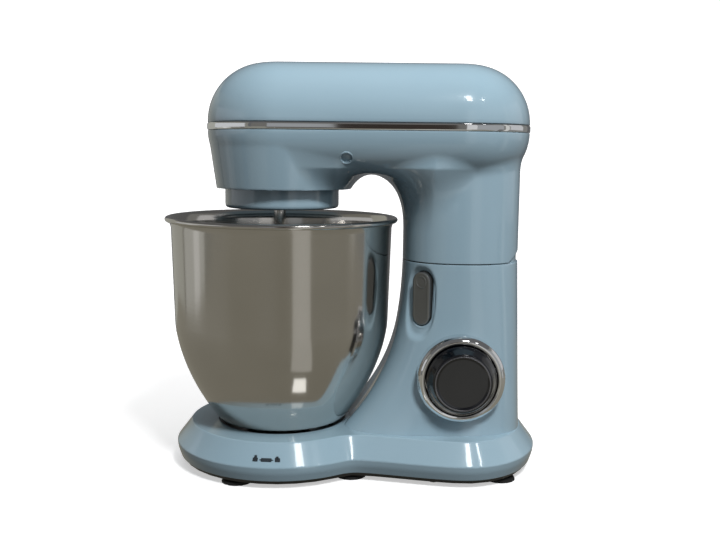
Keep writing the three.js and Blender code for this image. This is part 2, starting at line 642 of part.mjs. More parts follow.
// Turns an outline of [radius, distance in front of the bezel's back] pairs about the knob's axis.
function knobTurned(outline, sides = 32) {
  const points = outline.map(([radius, height]) => new THREE.Vector2(radius, height));
  const back = BEZEL_FRONT_Y + BEZEL_DEPTH;
  return solid(new THREE.LatheGeometry(points, sides).rotateX(Math.PI).translate(KNOB_X, back, KNOB_Z));
}

const KNOB_BACK = 3;
const KNOB_HEIGHT = BEZEL_DEPTH + KNOB_PROUD;
const SHAFT_FRONT = KNOB_BACK + 8;

piece("knob_bezel", knobTurned([
  [5, 0], [BEZEL_RADIUS, 0], [BEZEL_RADIUS, BEZEL_DEPTH - 2], [BEZEL_RADIUS - 0.7, BEZEL_DEPTH - 0.6],
  [BEZEL_RADIUS - 2, BEZEL_DEPTH], [KNOB_RADIUS + 1.5, BEZEL_DEPTH - 3], [KNOB_RADIUS + 1, 2], [5, 2], [5, 0],
]), "chrome");

piece("knob", cut(
  knobTurned([[0, KNOB_BACK], [KNOB_RADIUS, KNOB_BACK], [KNOB_RADIUS, KNOB_HEIGHT - 2.5],
    [KNOB_RADIUS - 0.8, KNOB_HEIGHT - 0.8], [KNOB_RADIUS - 2.5, KNOB_HEIGHT], [0, KNOB_HEIGHT]]),
  knobTurned([[0, 0], [CONTROL_SHAFT_RADIUS + GAP, 0], [CONTROL_SHAFT_RADIUS + GAP, SHAFT_FRONT + GAP],
    [0, SHAFT_FRONT + GAP]], 20),
), "black");

piece("control_shaft", knobTurned([
  [0, -12], [CONTROL_SHAFT_RADIUS, -12], [CONTROL_SHAFT_RADIUS, SHAFT_FRONT], [0, SHAFT_FRONT],
], 20), "plain");

const controlBack = BEZEL_FRONT_Y + BEZEL_DEPTH;
const shaftHole = () =>
  barY(KNOB_X, KNOB_Z, controlBack - 4, controlBack + 30, CONTROL_SHAFT_RADIUS + GAP, 20);
piece("speed_control", cut(
  block(KNOB_X - 8, KNOB_X + 8, controlBack + 1, controlBack + 9, KNOB_Z - 8, KNOB_Z + 8),
  shaftHole(),
), "black");
piece("speed_board", cut(
  block(KNOB_X - 28, KNOB_X + 28, controlBack + 9.4, controlBack + 11, KNOB_Z - 24, KNOB_Z + 24),
  shaftHole()), "board");

piece("cord_gland", cut(
  join(
    barX(GLAND_Y, GLAND_Z, GLAND_INNER_X, REACH + COLUMN_HALF_LENGTH + 7, GLAND_RADIUS),
    barX(GLAND_Y, GLAND_Z, GLAND_INNER_X - 3, GLAND_INNER_X + 1, GLAND_RADIUS + 2),
  ),
  barX(GLAND_Y, GLAND_Z, GLAND_INNER_X - 20, GLAND_INNER_X + 40, GLAND_RADIUS / 2),
), "black");

// ---- Head shells ----

const COVER_Z = BAND_BOTTOM_Z + BAND_HEIGHT;

// The cover's crown: a quarter ellipse all round.
function crown(inset, bottom, height, bands) {
  return loft(steps(bands).map((t) => {
    const angle = (t * Math.PI) / 2;
    return headRing(inset + (CROWN_INSET - inset) * (1 - Math.cos(angle)), bottom + height * Math.sin(angle));
  }));
}

piece("head_cover", cut(
  crown(0, COVER_Z, CROWN_HEIGHT, 6),
  join(
    crown(WALL, COVER_Z, CROWN_HEIGHT - WALL, 5),
    loft([headRing(WALL, COVER_Z - 1), headRing(WALL, COVER_Z + 1)]),
  ),
), "blue");

piece("trim_band", cut(
  loft([headRing(-BAND_PROUD, BAND_BOTTOM_Z + GAP), headRing(-BAND_PROUD, COVER_Z - GAP)]),
  loft([headRing(BAND_THICK, BAND_BOTTOM_Z - 1), headRing(BAND_THICK, COVER_Z + 1)]),
), "chrome");

// The under-side of the head, curving in from the band to the neck.
function neckHull(inset, floor, top) {
  const curve = steps(5).map((t) => {
    const angle = ((1 - t) * Math.PI) / 2;
    const height = BAND_BOTTOM_Z - floor;
    return headRing(inset + NECK_INSET * (1 - Math.cos(angle)), BAND_BOTTOM_Z - height * Math.sin(angle));
  });
  return loft(top > BAND_BOTTOM_Z ? [...curve, headRing(inset, top)] : curve);
}

// The web that rounds the arch between the bulb and the column, seen from the side.
function archWeb() {
  const bulbX = BULB_BOTTOM_RADIUS;
  const columnX = REACH - COLUMN_HALF_LENGTH;
  const shape = new THREE.Shape();
  shape.moveTo(bulbX - 8, NECK_Z + 8);
  shape.lineTo(bulbX - 8, NECK_Z - ARCH_BULB_FILLET);
  shape.lineTo(bulbX, NECK_Z - ARCH_BULB_FILLET);
  shape.absarc(bulbX + ARCH_BULB_FILLET, NECK_Z - ARCH_BULB_FILLET, ARCH_BULB_FILLET,
    Math.PI, Math.PI / 2, true);
  shape.absarc(columnX - ARCH_COLUMN_FILLET, NECK_Z - ARCH_COLUMN_FILLET, ARCH_COLUMN_FILLET,
    Math.PI / 2, 0, true);
  shape.lineTo(columnX + 8, NECK_Z - ARCH_COLUMN_FILLET);
  shape.lineTo(columnX + 8, NECK_Z + 8);
  const options = { depth: 2 * ARCH_HALF_WIDTH, bevelEnabled: false, curveSegments: 6 };
  const web = new THREE.ExtrudeGeometry(shape, options).translate(0, 0, -ARCH_HALF_WIDTH);
  return solid(web.rotateX(Math.PI / 2));
}

const upperColumn = (inset, bottom, top) => loft([
  columnRing(bottom, inset),
  columnRing(NECK_Z - 20, inset),
  columnRing(top, inset - 2.5),
]);

function headCasing() {
  const bottom = SEAM_Z + SEAM_GAP / 2;
  const bulb = barZ(0, 0, BULB_BOTTOM_Z, BAND_BOTTOM_Z, BULB_BOTTOM_RADIUS, HEAD_RADIUS, FINE_ROUND);
  const outside = join(
    neckHull(0, NECK_Z, BAND_BOTTOM_Z), bulb, upperColumn(0, bottom, BAND_BOTTOM_Z - 8), archWeb());
  const bulbInside = barZ(0, 0, BULB_BOTTOM_Z + WALL, BAND_BOTTOM_Z,
    BULB_BOTTOM_RADIUS - WALL, HEAD_RADIUS - WALL, FINE_ROUND);
  const mouth = SKIRT_RADIUS + SKIRT_CLEARANCE;
  const inside = join(
    neckHull(WALL, NECK_Z + WALL, BAND_BOTTOM_Z + 1), bulbInside,
    upperColumn(WALL, bottom - 1, BAND_BOTTOM_Z - 8 - WALL),
    barZ(0, 0, BULB_BOTTOM_Z - 1, BULB_BOTTOM_Z + WALL + 1, mouth, mouth, FINE_ROUND));
  const relief = new THREE.Shape();
  relief.moveTo(HINGE_X, HINGE_Z - 3);
  relief.lineTo(HINGE_X + 40, HINGE_Z - 3);
  relief.lineTo(HINGE_X + 40, HINGE_Z + 40 * Math.tan(degrees(TILT_RELIEF)));
  relief.lineTo(HINGE_X, HINGE_Z);
  const reach = HEAD_RADIUS + 10;
  const wedge = new THREE.ExtrudeGeometry(relief, { depth: 2 * reach, bevelEnabled: false });
  const reliefCut = solid(wedge.translate(0, 0, -reach).rotateX(Math.PI / 2));
  const plugBores = barY(PLUG_X, PLUG_Z, -reach, reach, PLUG_RADIUS + GAP);
  return cut(outside, inside, reliefCut, plugBores);
}

piece("head_casing", headCasing(), "blue");

[["left", -1], ["right", 1]].forEach(([side, sign]) => {
  const outer = HEAD_RADIUS - 6;
  const [near, far] = [(outer - PLUG_LENGTH) * sign, outer * sign].sort((a, b) => a - b);
  piece(`screw_plug_${side}`, barY(PLUG_X, PLUG_Z, near, far, PLUG_RADIUS), "blue");
});

function neckCap() {
  const bottom = SEAM_Z + 2;
  const plate = cut(
    loft([columnRing(bottom, WALL + GAP), columnRing(bottom + 3.5, WALL + GAP)]),
    block(HINGE_X - KNUCKLE_RADIUS - 2, HINGE_X + COLUMN_HALF_LENGTH,
      -COLUMN_HALF_DEPTH, COLUMN_HALF_DEPTH, bottom - 1, bottom + 5),
  );
  const arm = block(HINGE_X - KNUCKLE_RADIUS - 6, HINGE_X,
    -KNUCKLE_HALF_WIDTH, KNUCKLE_HALF_WIDTH, bottom, bottom + 3.5);
  const knuckle = barY(HINGE_X, HINGE_Z, -KNUCKLE_HALF_WIDTH, KNUCKLE_HALF_WIDTH, KNUCKLE_RADIUS);
  return cut(join(plate, arm, knuckle), pinBore());
}

piece("neck_cap", neckCap(), "plain");
piece("catch_rod", join(
  barZ(catchPlace.x, catchPlace.y, HOOK_BOTTOM_Z, SEAM_Z + 2 - GAP, CATCH_RADIUS, CATCH_RADIUS, 20),
  barZ(catchPlace.x, catchPlace.y, SEAM_Z - 0.8, SEAM_Z + 2 - GAP, CATCH_RADIUS + 3, CATCH_RADIUS + 3, 20),
), "plain");

// ---- Motor ----

const STATOR_TOP_Z = MOTOR_Z + STATOR_HEIGHT;
const BRUSH_Z = MOTOR_Z - 11;
const SHAFT_BOTTOM_Z = MOTOR_Z - 22;
const SHAFT_TOP_Z = BELT_Z + BELT_WIDTH + 3;
const FAN_Z = STATOR_TOP_Z + 3;

piece("motor_stator",
  tubeZ(REACH, 0, MOTOR_Z, STATOR_TOP_Z, MOTOR_RADIUS, ARMATURE_RADIUS + AIR_GAP), "copper");

// A bridge across one end of the stator, with a leg down or up to it on each side.
function motorBracket(armZ, armTopZ, legZ, legTopZ) {
  const arm = block(REACH - MOTOR_RADIUS, REACH + MOTOR_RADIUS, -7, 7, armZ, armTopZ);
  const legs = [-MOTOR_RADIUS, MOTOR_RADIUS - 4].map((side) =>
    block(REACH + side, REACH + side + 4, -7, 7, legZ, legTopZ));
  return cut(join(arm, ...legs), barZ(REACH, 0, armZ - 1, armTopZ + 1, SHAFT_RADIUS + GAP));
}

const LOWER_ARM_Z = MOTOR_Z - 19;
const UPPER_ARM_Z = STATOR_TOP_Z + 16;
piece("motor_bracket_lower",
  motorBracket(LOWER_ARM_Z, LOWER_ARM_Z + 4, LOWER_ARM_Z, MOTOR_Z - GAP), "plain");
piece("motor_bracket_upper",
  motorBracket(UPPER_ARM_Z, UPPER_ARM_Z + 5, STATOR_TOP_Z + GAP, UPPER_ARM_Z + 5), "plain");

[["left", -1], ["right", 1]].forEach(([side, sign]) => {
  const [y0, y1] = [(COMMUTATOR_RADIUS + 0.5) * sign, (COMMUTATOR_RADIUS + 16) * sign].sort((a, b) => a - b);
  piece(`brush_holder_${side}`, block(REACH - 4, REACH + 4, y0, y1, BRUSH_Z, BRUSH_Z + 7), "plain");
});

piece("motor_shaft", barZ(REACH, 0, SHAFT_BOTTOM_Z, SHAFT_TOP_Z, SHAFT_RADIUS), "plain");
piece("armature_core", cut(
  join(
    barZ(REACH, 0, MOTOR_Z + 2, STATOR_TOP_Z - 2, ARMATURE_RADIUS),
    barZ(REACH, 0, BRUSH_Z - 1, MOTOR_Z + 3, COMMUTATOR_RADIUS),
  ),
  barZ(REACH, 0, BRUSH_Z - 5, STATOR_TOP_Z + 5, SHAFT_RADIUS + GAP),
), "copper");

function coolingFan() {
  const hubRadius = SHAFT_RADIUS + 4;
  const bladeLength = FAN_RADIUS - hubRadius;
  const blades = steps(8).slice(0, -1).map((turn) => {
    const blade = new THREE.BoxGeometry(bladeLength, 1.4, 7);
    blade.translate(hubRadius + bladeLength / 2 - 0.5, 0, 0).rotateZ(2 * Math.PI * turn);
    return solid(blade.translate(REACH, 0, FAN_Z + 5));
  });
  const disc = barZ(REACH, 0, FAN_Z, FAN_Z + 2.5, FAN_RADIUS);
  const hub = barZ(REACH, 0, FAN_Z, FAN_Z + 9, hubRadius);
  return cut(join(disc, hub, ...blades), barZ(REACH, 0, FAN_Z - 5, FAN_Z + 15, SHAFT_RADIUS + GAP));
}

piece("cooling_fan", coolingFan(), "nylon");

// ---- Belt drive ----

function pulley(x, radius) {
  const [z0, z1] = [BELT_Z - 2, BELT_Z + BELT_WIDTH + 2];
  return cut(join(
    barZ(x, 0, z0, z1, radius, radius, ROUND),
    barZ(x, 0, z0, z0 + 1.5, radius + 3, radius + 3, ROUND),
    barZ(x, 0, z1 - 1.5, z1, radius + 3, radius + 3, ROUND),
  ), barZ(x, 0, z0 - 1, z1 + 1, SHAFT_RADIUS + GAP));
}

piece("drive_pulley", pulley(REACH, SMALL_PULLEY_RADIUS), "plain");
piece("driven_pulley", pulley(LAYSHAFT_X, BIG_PULLEY_RADIUS), "nylon");

// The outline of a belt or case drawn tight round two circles on the X axis.
function wrapped(x0, radius0, x1, radius1) {
  const lean = Math.acos((radius0 - radius1) / (x1 - x0));
  const shape = new THREE.Shape();
  shape.absarc(x1, 0, radius1, -lean, lean, false);
  shape.absarc(x0, 0, radius0, lean, 2 * Math.PI - lean, false);
  return shape;
}

const beltLoop = (grow) =>
  wrapped(LAYSHAFT_X, BIG_PULLEY_RADIUS + grow, REACH, SMALL_PULLEY_RADIUS + grow);
piece("belt", cut(
  prism(beltLoop(2 * GAP + BELT_THICK), BELT_Z, BELT_Z + BELT_WIDTH, 12),
  prism(beltLoop(2 * GAP), BELT_Z - 1, BELT_Z + BELT_WIDTH + 1, 12),
), "rubber");

// ---- Gearbox ----

const CASE_TOP_Z = CASE_Z + CASE_HEIGHT;
const GEAR_TOP_Z = GEAR_BOTTOM_Z + GEAR_WIDTH;
const gearRadius = (GEAR_TEETH * GEAR_MODULE) / 2;
const pinionRadius = (PINION_TEETH * GEAR_MODULE) / 2;
const caseOutline = (grow) => wrapped(0, gearRadius + 3 + grow, LAYSHAFT_X, pinionRadius + 4 + grow);
const BUSH_RADIUS = SHAFT_RADIUS + 4;
const BUSH_LENGTH = 6.5;
const BUSH_Z = CASE_Z + 1.5;
const CASE_FLOOR = 4;

piece("gearbox_housing", cut(
  prism(caseOutline(WALL), CASE_Z, CASE_TOP_Z),
  prism(caseOutline(0), CASE_Z + CASE_FLOOR, CASE_TOP_Z + 1),
  ...[0, LAYSHAFT_X].map((x) => barZ(x, 0, CASE_Z - 1, CASE_Z + CASE_FLOOR + 1, BUSH_RADIUS + GAP)),
), "plain");
piece("gearbox_cover", cut(
  prism(caseOutline(WALL), CASE_TOP_Z + GAP, CASE_TOP_Z + 3),
  barZ(LAYSHAFT_X, 0, CASE_TOP_Z, CASE_TOP_Z + 4, SHAFT_RADIUS + GAP),
), "plain");
[["main_bush", 0], ["layshaft_bush", LAYSHAFT_X]].forEach(([name, x]) =>
  piece(name, tubeZ(x, 0, BUSH_Z, BUSH_Z + BUSH_LENGTH, BUSH_RADIUS, SHAFT_RADIUS + GAP), "copper"));

piece("layshaft", barZ(LAYSHAFT_X, 0, CASE_Z + 2, SHAFT_TOP_Z, SHAFT_RADIUS), "plain");
piece("pinion", gear(PINION_TEETH, GEAR_MODULE, GEAR_BOTTOM_Z - 1, GEAR_TOP_Z + 1,
  LAYSHAFT_X, 0, Math.PI / PINION_TEETH, SHAFT_RADIUS), "plain");

// ---- Planetary drive ----

function ringGear() {
  const pitch = (RING_TEETH * RING_MODULE) / 2;
  const outer = pitch + 4 * RING_MODULE;
  const space = gearPoints(RING_TEETH, RING_MODULE,
    pitch + DEDENDUM * RING_MODULE, pitch - ADDENDUM * RING_MODULE, BACKLASH / 2, 0);
  return cut(
    barZ(0, 0, RING_BOTTOM_Z, CASE_Z - GAP, outer, outer, FINE_ROUND),
    prism(new THREE.Shape(space), RING_BOTTOM_Z - 1, CASE_Z + 1),
  );
}

piece("ring_gear", ringGear(), "plain");
piece("main_gear",
  gear(GEAR_TEETH, GEAR_MODULE, GEAR_BOTTOM_Z, GEAR_TOP_Z, 0, 0, 0, SHAFT_RADIUS), "nylon");
piece("main_shaft", barZ(0, 0, SKIRT_BOTTOM_Z + 5, GEAR_TOP_Z + 6, SHAFT_RADIUS), "plain");

function planetCarrier() {
  const floor = SKIRT_BOTTOM_Z + 4;
  const drum = cut(
    barZ(0, 0, SKIRT_BOTTOM_Z, SKIRT_TOP_Z, SKIRT_RADIUS, SKIRT_RADIUS, FINE_ROUND),
    barZ(0, 0, floor, SKIRT_TOP_Z + 1, SKIRT_RADIUS - 2.5, SKIRT_RADIUS - 2.5, FINE_ROUND),
  );
  return cut(
    join(
      drum,
      barZ(0, 0, floor - 1, SKIRT_TOP_Z, SHAFT_RADIUS + 5),
      barZ(0, -ORBIT, floor - 1, SKIRT_TOP_Z, TOOL_SHAFT_RADIUS + 4),
    ),
    barZ(0, 0, floor + 1 - GAP, SKIRT_TOP_Z + 1, SHAFT_RADIUS + GAP),
    barZ(0, -ORBIT, SKIRT_BOTTOM_Z - 1, SKIRT_TOP_Z + 1, TOOL_SHAFT_RADIUS + GAP),
  );
}

piece("planet_carrier", planetCarrier(), "blue");
piece("planet_pinion", gear(PLANET_TEETH, RING_MODULE, RING_BOTTOM_Z + 1, RING_BOTTOM_Z + 11,
  0, -ORBIT, 0, TOOL_SHAFT_RADIUS), "plain");
piece("tool_shaft", join(
  barZ(0, -ORBIT, TOOL_END_Z, RING_BOTTOM_Z + 12.5, TOOL_SHAFT_RADIUS),
  barX(-ORBIT, TOOL_END_Z + 6, -8, 8, 1.5, 12),
), "steel");

// The origin is under the middle of the mixer's box.
const rearEnd = REACH + REAR_LENGTH;
mixer.position.x = -(rearEnd - RIM_RADIUS) / 2;

export default mixer;
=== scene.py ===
import json
from math import cos, hypot, pi, radians, sin, sqrt, tan

import bmesh
import bpy
import numpy as np
from mathutils import Matrix, Vector
from mathutils.bvhtree import BVHTree


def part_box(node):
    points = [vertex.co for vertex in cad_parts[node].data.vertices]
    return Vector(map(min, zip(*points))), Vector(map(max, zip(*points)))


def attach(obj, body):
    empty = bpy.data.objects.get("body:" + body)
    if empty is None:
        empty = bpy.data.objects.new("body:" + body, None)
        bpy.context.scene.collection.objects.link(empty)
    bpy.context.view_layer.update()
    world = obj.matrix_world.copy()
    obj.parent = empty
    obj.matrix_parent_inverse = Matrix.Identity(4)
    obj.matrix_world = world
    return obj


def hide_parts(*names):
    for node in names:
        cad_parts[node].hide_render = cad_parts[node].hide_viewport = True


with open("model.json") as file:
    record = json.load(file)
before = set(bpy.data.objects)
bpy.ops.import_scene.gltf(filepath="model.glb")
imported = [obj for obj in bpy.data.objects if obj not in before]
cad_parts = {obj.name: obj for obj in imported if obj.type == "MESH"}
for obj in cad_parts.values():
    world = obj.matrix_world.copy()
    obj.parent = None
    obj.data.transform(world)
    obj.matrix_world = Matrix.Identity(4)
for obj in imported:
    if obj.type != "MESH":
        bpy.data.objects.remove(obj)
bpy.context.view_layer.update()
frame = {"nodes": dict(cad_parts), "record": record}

# Shapes are drawn in millimetres about the bowl's axis, +X towards the column, and moved into
# the frame when they are finished.
BOWL_AXIS_X = (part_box("bowl")[0][0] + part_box("bowl")[1][0]) / 2
TO_FRAME = Matrix.Translation((BOWL_AXIS_X, 0, 0)) @ Matrix.Scale(0.001, 4)


def cad(node):
    """A node's lowest and highest corners, in millimetres about the bowl's axis."""
    return [1000 * (Vector(corner) - Vector((BOWL_AXIS_X, 0, 0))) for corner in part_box(node)]


# ---- Camera ----

CAMERA_PLACE = (0.00658, -0.78, 0.2682)
CAMERA_PITCH = 7.41
CAMERA_ROLL = 0.61

camera_data = bpy.data.cameras.new("camera")
camera_data.lens = 45
camera_data.sensor_width = 36
camera = bpy.data.objects.new("camera", camera_data)
bpy.context.scene.collection.objects.link(camera)
camera.matrix_world = (
    Matrix.Translation(CAMERA_PLACE)
    @ Matrix.Rotation(radians(90 - CAMERA_PITCH), 4, "X")
    @ Matrix.Rotation(radians(CAMERA_ROLL), 4, "Z")
)
bpy.context.scene.camera = camera

# ---- Sizes, in millimetres ----

CASING_LIFT = 0.2
SEAM_Z = cad("head_casing")[0].z - CASING_LIFT
SEAM_HALF_GAP = 0.45
RIM_RADIUS = cad("bowl")[1].y
RIM_Z = cad("bowl")[1].z
SEAT_SINK = 1
PLATEAU_Z = cad("bowl_seat")[1].z + SEAT_SINK
BEVEL_DROP = 17
CREASE_Z = PLATEAU_Z - BEVEL_DROP
SHELL_BOTTOM_Z = cad("base_shell")[0].z
SEAT_CLEARANCE = 0.3
RECESS_RADIUS = cad("bowl_seat")[1].y + SEAT_CLEARANCE
RECESS_DEPTH = 12
LOBE_RADIUS = -cad("base_shell")[0].x
REACH = (cad("motor_shaft")[0].x + cad("motor_shaft")[1].x) / 2
REAR_LENGTH = cad("base_shell")[1].x - REACH
REAR_HALF_WIDTH = 86
LOBE_SWEEP = radians(50)
PLATEAU_INSET = 13
WALL = 3
COLUMN_HALF_LENGTH = 49.5
COLUMN_HALF_DEPTH = 47
COLUMN_SQUARENESS = 2.2
BOWL_WALL = 1.2
BOWL_LIFT = 1
BOWL_BOTTOM_Z = PLATEAU_Z + BOWL_LIFT
BOWL_WAIST_SHARE = 0.493
BOWL_WAIST_Z = BOWL_BOTTOM_Z + BOWL_WAIST_SHARE * (RIM_Z - BOWL_BOTTOM_Z)
BOWL_WAIST_RADIUS = RIM_RADIUS - 7.5
BOWL_MOUTH_RADIUS = RIM_RADIUS - 4.5
BOWL_ROUNDING = 0.7
BOWL_CURVE = 1.6
BOWL_CLEARANCE = 5
HEAD_RADIUS = cad("head_cover")[1].y
HEAD_REAR_X = cad("head_cover")[1].x - HEAD_RADIUS
HEAD_TOP_Z = cad("head_cover")[1].z
COVER_Z = cad("head_cover")[0].z
BAND_Z = cad("head_casing")[1].z
NECK_DROP = 34.5
NECK_Z = BAND_Z - NECK_DROP
NECK_INSET = 26
BULB_DROP = 14
BULB_BOTTOM_Z = NECK_Z - BULB_DROP
BULB_TAPER = 7
BULB_BOTTOM_RADIUS = HEAD_RADIUS - BULB_TAPER
CROWN_INSET = 50
HINGE = sum(cad("hinge_pin"), Vector()) / 2
TILT_RELIEF = radians(40)
MERGE_DISTANCE = 0.002


# ---- Finishes ----


class Value:
    """A socket of a finish, whose arithmetic adds Math nodes."""

    def __init__(self, finish, socket):
        self.finish = finish
        self.socket = socket

    def math(self, operation, first, second):
        return self.finish.node("ShaderNodeMath", {"operation": operation}, {0: first, 1: second})

    def __add__(self, other):
        return self.math("ADD", self, other)

    def __sub__(self, other):
        return self.math("SUBTRACT", self, other)

    def __rsub__(self, other):
        return self.math("SUBTRACT", other, self)

    def __mul__(self, other):
        return self.math("MULTIPLY", self, other)

    __radd__ = __add__
    __rmul__ = __mul__


# The Mix node's two colour inputs and its colour output.
MIX_FIRST, MIX_SECOND, MIX_RESULT = 6, 7, 2


class Finish:
    """A material made from one Principled shader."""

    def __init__(self, name, constants):
        self.material = bpy.data.materials.new(name)
        self.material.use_nodes = True
        self.tree = self.material.node_tree
        self.shader = self.tree.nodes["Principled BSDF"]
        for socket, value in constants.items():
            self.shader.inputs[socket].default_value = value
        self.place = self.node("ShaderNodeTexCoord", output="Object")

    def node(self, kind, settings=None, sockets=None, output=0):
        made = self.tree.nodes.new(kind)
        for key, value in (settings or {}).items():
            setattr(made, key, value)
        for key, value in (sockets or {}).items():
            if isinstance(value, Value):
                self.tree.links.new(value.socket, made.inputs[key])
            else:
                made.inputs[key].default_value = value
        return Value(self, made.outputs[output])

    def feed(self, socket, value):
        self.tree.links.new(value.socket, self.shader.inputs[socket])

    def noise(self, scale, detail=2, stretch=(1, 1, 1), roughness=0.5):
        vector = self.node("ShaderNodeMapping", None, {"Vector": self.place, "Scale": stretch})
        return self.node("ShaderNodeTexNoise", None, {
            "Vector": vector, "Scale": scale, "Detail": detail, "Roughness": roughness})

    def ramp(self, value, low, high, out_low=0.0, out_high=1.0):
        return self.node("ShaderNodeMapRange", None, {
            "Value": value, "From Min": low, "From Max": high,
            "To Min": out_low, "To Max": out_high})

    def blend(self, share, first, second):
        mix = self.tree.nodes.new("ShaderNodeMix")
        mix.data_type = "RGBA"
        self.tree.links.new(share.socket, mix.inputs["Factor"])
        mix.inputs[MIX_FIRST].default_value = (*first, 1)
        mix.inputs[MIX_SECOND].default_value = (*second, 1)
        return Value(self, mix.outputs[MIX_RESULT])

    def bump(self, height, distance, strength=1.0):
        self.feed("Normal", self.node("ShaderNodeBump", None, {
            "Height": height, "Distance": distance, "Strength": strength}))


def gloss_plastic(name, light, dark, roughness=0.16):
    """Moulded plastic under a clear gloss, with a faint orange peel and a little dulling."""
    finish = Finish(name, {"Coat Roughness": 0.04, "IOR": 1.5})
    cloud = finish.noise(14, 3)
    finish.feed("Base Color", finish.blend(finish.ramp(cloud, 0.3, 0.7), dark, light))
    dull = finish.noise(60, 4)
    finish.feed("Roughness", finish.ramp(dull, 0.35, 0.7, roughness, roughness + 0.07))
    finish.feed("Coat Weight", finish.ramp(cloud, 0.3, 0.7, 0.7, 0.9))
    finish.bump(finish.noise(260, 1), 0.00003)
    return finish.material


def bright_metal(name, light, dark, roughness, stretch, lines):
    """Metal with fine polishing lines, whose direction stretch sets."""
    finish = Finish(name, {"Metallic": 1.0})
    smear = finish.noise(9, 4)
    fine = finish.noise(lines, 2, stretch)
    finish.feed("Base Color", finish.blend(finish.ramp(smear, 0.3, 0.7), dark, light))
    smeared = finish.ramp(smear, 0.3, 0.7, roughness, roughness * 1.6)
    finish.feed("Roughness", smeared + fine * (roughness * 0.4))
    finish.bump(fine, 0.000006)
    return finish.material


def plain_part(name, light, dark, roughness, metallic, grain, distance):
    """Cast, turned or moulded parts: a mottled colour over a fine grain."""
    finish = Finish(name, {"Metallic": metallic})
    mottle = finish.noise(35, 5)
    pores = finish.noise(grain, 3, roughness=0.7)
    finish.feed("Base Color", finish.blend(finish.ramp(mottle, 0.3, 0.7), dark, light))
    finish.feed("Roughness", finish.ramp(pores, 0.3, 0.7, roughness - 0.08, roughness + 0.1))
    finish.bump(pores, distance)
    return finish.material


BLUE = gloss_plastic("pale_blue_plastic", (0.37, 0.525, 0.62), (0.345, 0.50, 0.595))
BLACK = gloss_plastic("black_plastic", (0.002, 0.003, 0.007), (0.001, 0.002, 0.004), 0.12)
CHROME = bright_metal(
    "chrome_plate", (0.86, 0.87, 0.88), (0.80, 0.81, 0.82), 0.04, (1, 1, 14), 60)
STEEL = bright_metal(
    "polished_steel", (0.66, 0.64, 0.61), (0.58, 0.56, 0.53), 0.085, (1, 1, 40), 25)
SILVER = bright_metal(
    "ring_metal", (0.30, 0.30, 0.33), (0.22, 0.22, 0.25), 0.2, (1, 1, 1), 400)
DARK_METAL = plain_part(
    "dark_button_metal", (0.30, 0.31, 0.31), (0.25, 0.26, 0.26), 0.36, 0.85, 900, 0.00001)
RUBBER = plain_part(
    "foot_rubber", (0.022, 0.022, 0.022), (0.012, 0.012, 0.012), 0.75, 0.0, 700, 0.00004)
PLAIN = plain_part(
    "cast_metal", (0.42, 0.42, 0.44), (0.30, 0.30, 0.32), 0.42, 0.9, 500, 0.00005)
NYLON = plain_part(
    "gear_nylon", (0.70, 0.66, 0.55), (0.62, 0.58, 0.47), 0.45, 0.0, 300, 0.00003)
COPPER = plain_part(
    "motor_copper", (0.55, 0.24, 0.11), (0.35, 0.14, 0.07), 0.35, 0.9, 600, 0.00008)
BOARD = plain_part(
    "circuit_board", (0.02, 0.14, 0.06), (0.01, 0.09, 0.04), 0.4, 0.0, 400, 0.00005)
GREY_INK = plain_part(
    "symbol_ink", (0.035, 0.045, 0.055), (0.02, 0.028, 0.035), 0.4, 0.0, 500, 0.00001)

SLOT_FINISH = {
    "blue": BLUE, "chrome": CHROME, "steel": STEEL, "dark_metal": DARK_METAL, "black": BLACK,
    "rubber": RUBBER, "plain": PLAIN, "nylon": NYLON, "copper": COPPER, "board": BOARD,
}
for subpart in frame["record"]["subparts"]:
    node = frame["nodes"][subpart["node"]]
    node.data.materials.clear()
    node.data.materials.append(SLOT_FINISH[subpart["material_slot"]])


# ---- Making pieces ----


def shown(name, bm, finish, matrix=Matrix.Identity(4)):
    """A finished mesh as an object in the frame."""
    bmesh.ops.remove_doubles(bm, verts=bm.verts, dist=MERGE_DISTANCE)
    bmesh.ops.recalc_face_normals(bm, faces=bm.faces)
    bmesh.ops.transform(bm, matrix=TO_FRAME @ matrix, verts=bm.verts)
    for face in bm.faces:
        face.smooth = True
    mesh = bpy.data.meshes.new(name)
    bm.to_mesh(mesh)
    bm.free()
    mesh.materials.append(finish)
    made = bpy.data.objects.new(name, mesh)
    bpy.context.scene.collection.objects.link(made)
    return made


def fitted(made, body, slot, *nodes):
    """Puts a piece on its body, instead of the nodes it stands for. The slot argument is not used.
    """
    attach(made, body)
    if nodes:
        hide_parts(*nodes)


# The most of a side that a corner's arc may use, and how far past its arc, in arc sizes, the
# point stands that keeps the side flat.
ARC_SHARE = 0.42
HOLD_SHARE = 0.15


def rounded(points, radius, steps=5):
    """An outline with its inner corners turned into small arcs, and a point on each side of
    every arc to keep the straight runs flat."""
    radii = radius if isinstance(radius, (list, tuple)) else [radius] * len(points)
    outline = [Vector(points[0])]
    for i in range(1, len(points) - 1):
        corner = Vector(points[i])
        back, ahead = Vector(points[i - 1]) - corner, Vector(points[i + 1]) - corner
        size = min(radii[i], ARC_SHARE * back.length, ARC_SHARE * ahead.length)
        start, end = corner + back.normalized() * size, corner + ahead.normalized() * size
        outline.append(start + back.normalized() * size * HOLD_SHARE)
        for step in range(steps + 1):
            t = step / steps
            outline.append(start * (1 - t) ** 2 + corner * (2 * t * (1 - t)) + end * t ** 2)
        outline.append(end + ahead.normalized() * size * HOLD_SHARE)
    outline.append(Vector(points[-1]))
    return outline


def closed_outline(points, radius, steps=5):
    """A rounded outline that closes on itself."""
    turned_round = [*points, points[0], points[1]]
    outline = rounded(turned_round, radius, steps)[1:-1]
    return [*outline, outline[0]]


def line(bm, points):
    """Edges through a list of points."""
    corners = [bm.verts.new(point) for point in points]
    edges = [bm.edges.new(pair) for pair in zip(corners, corners[1:])]
    return corners + edges


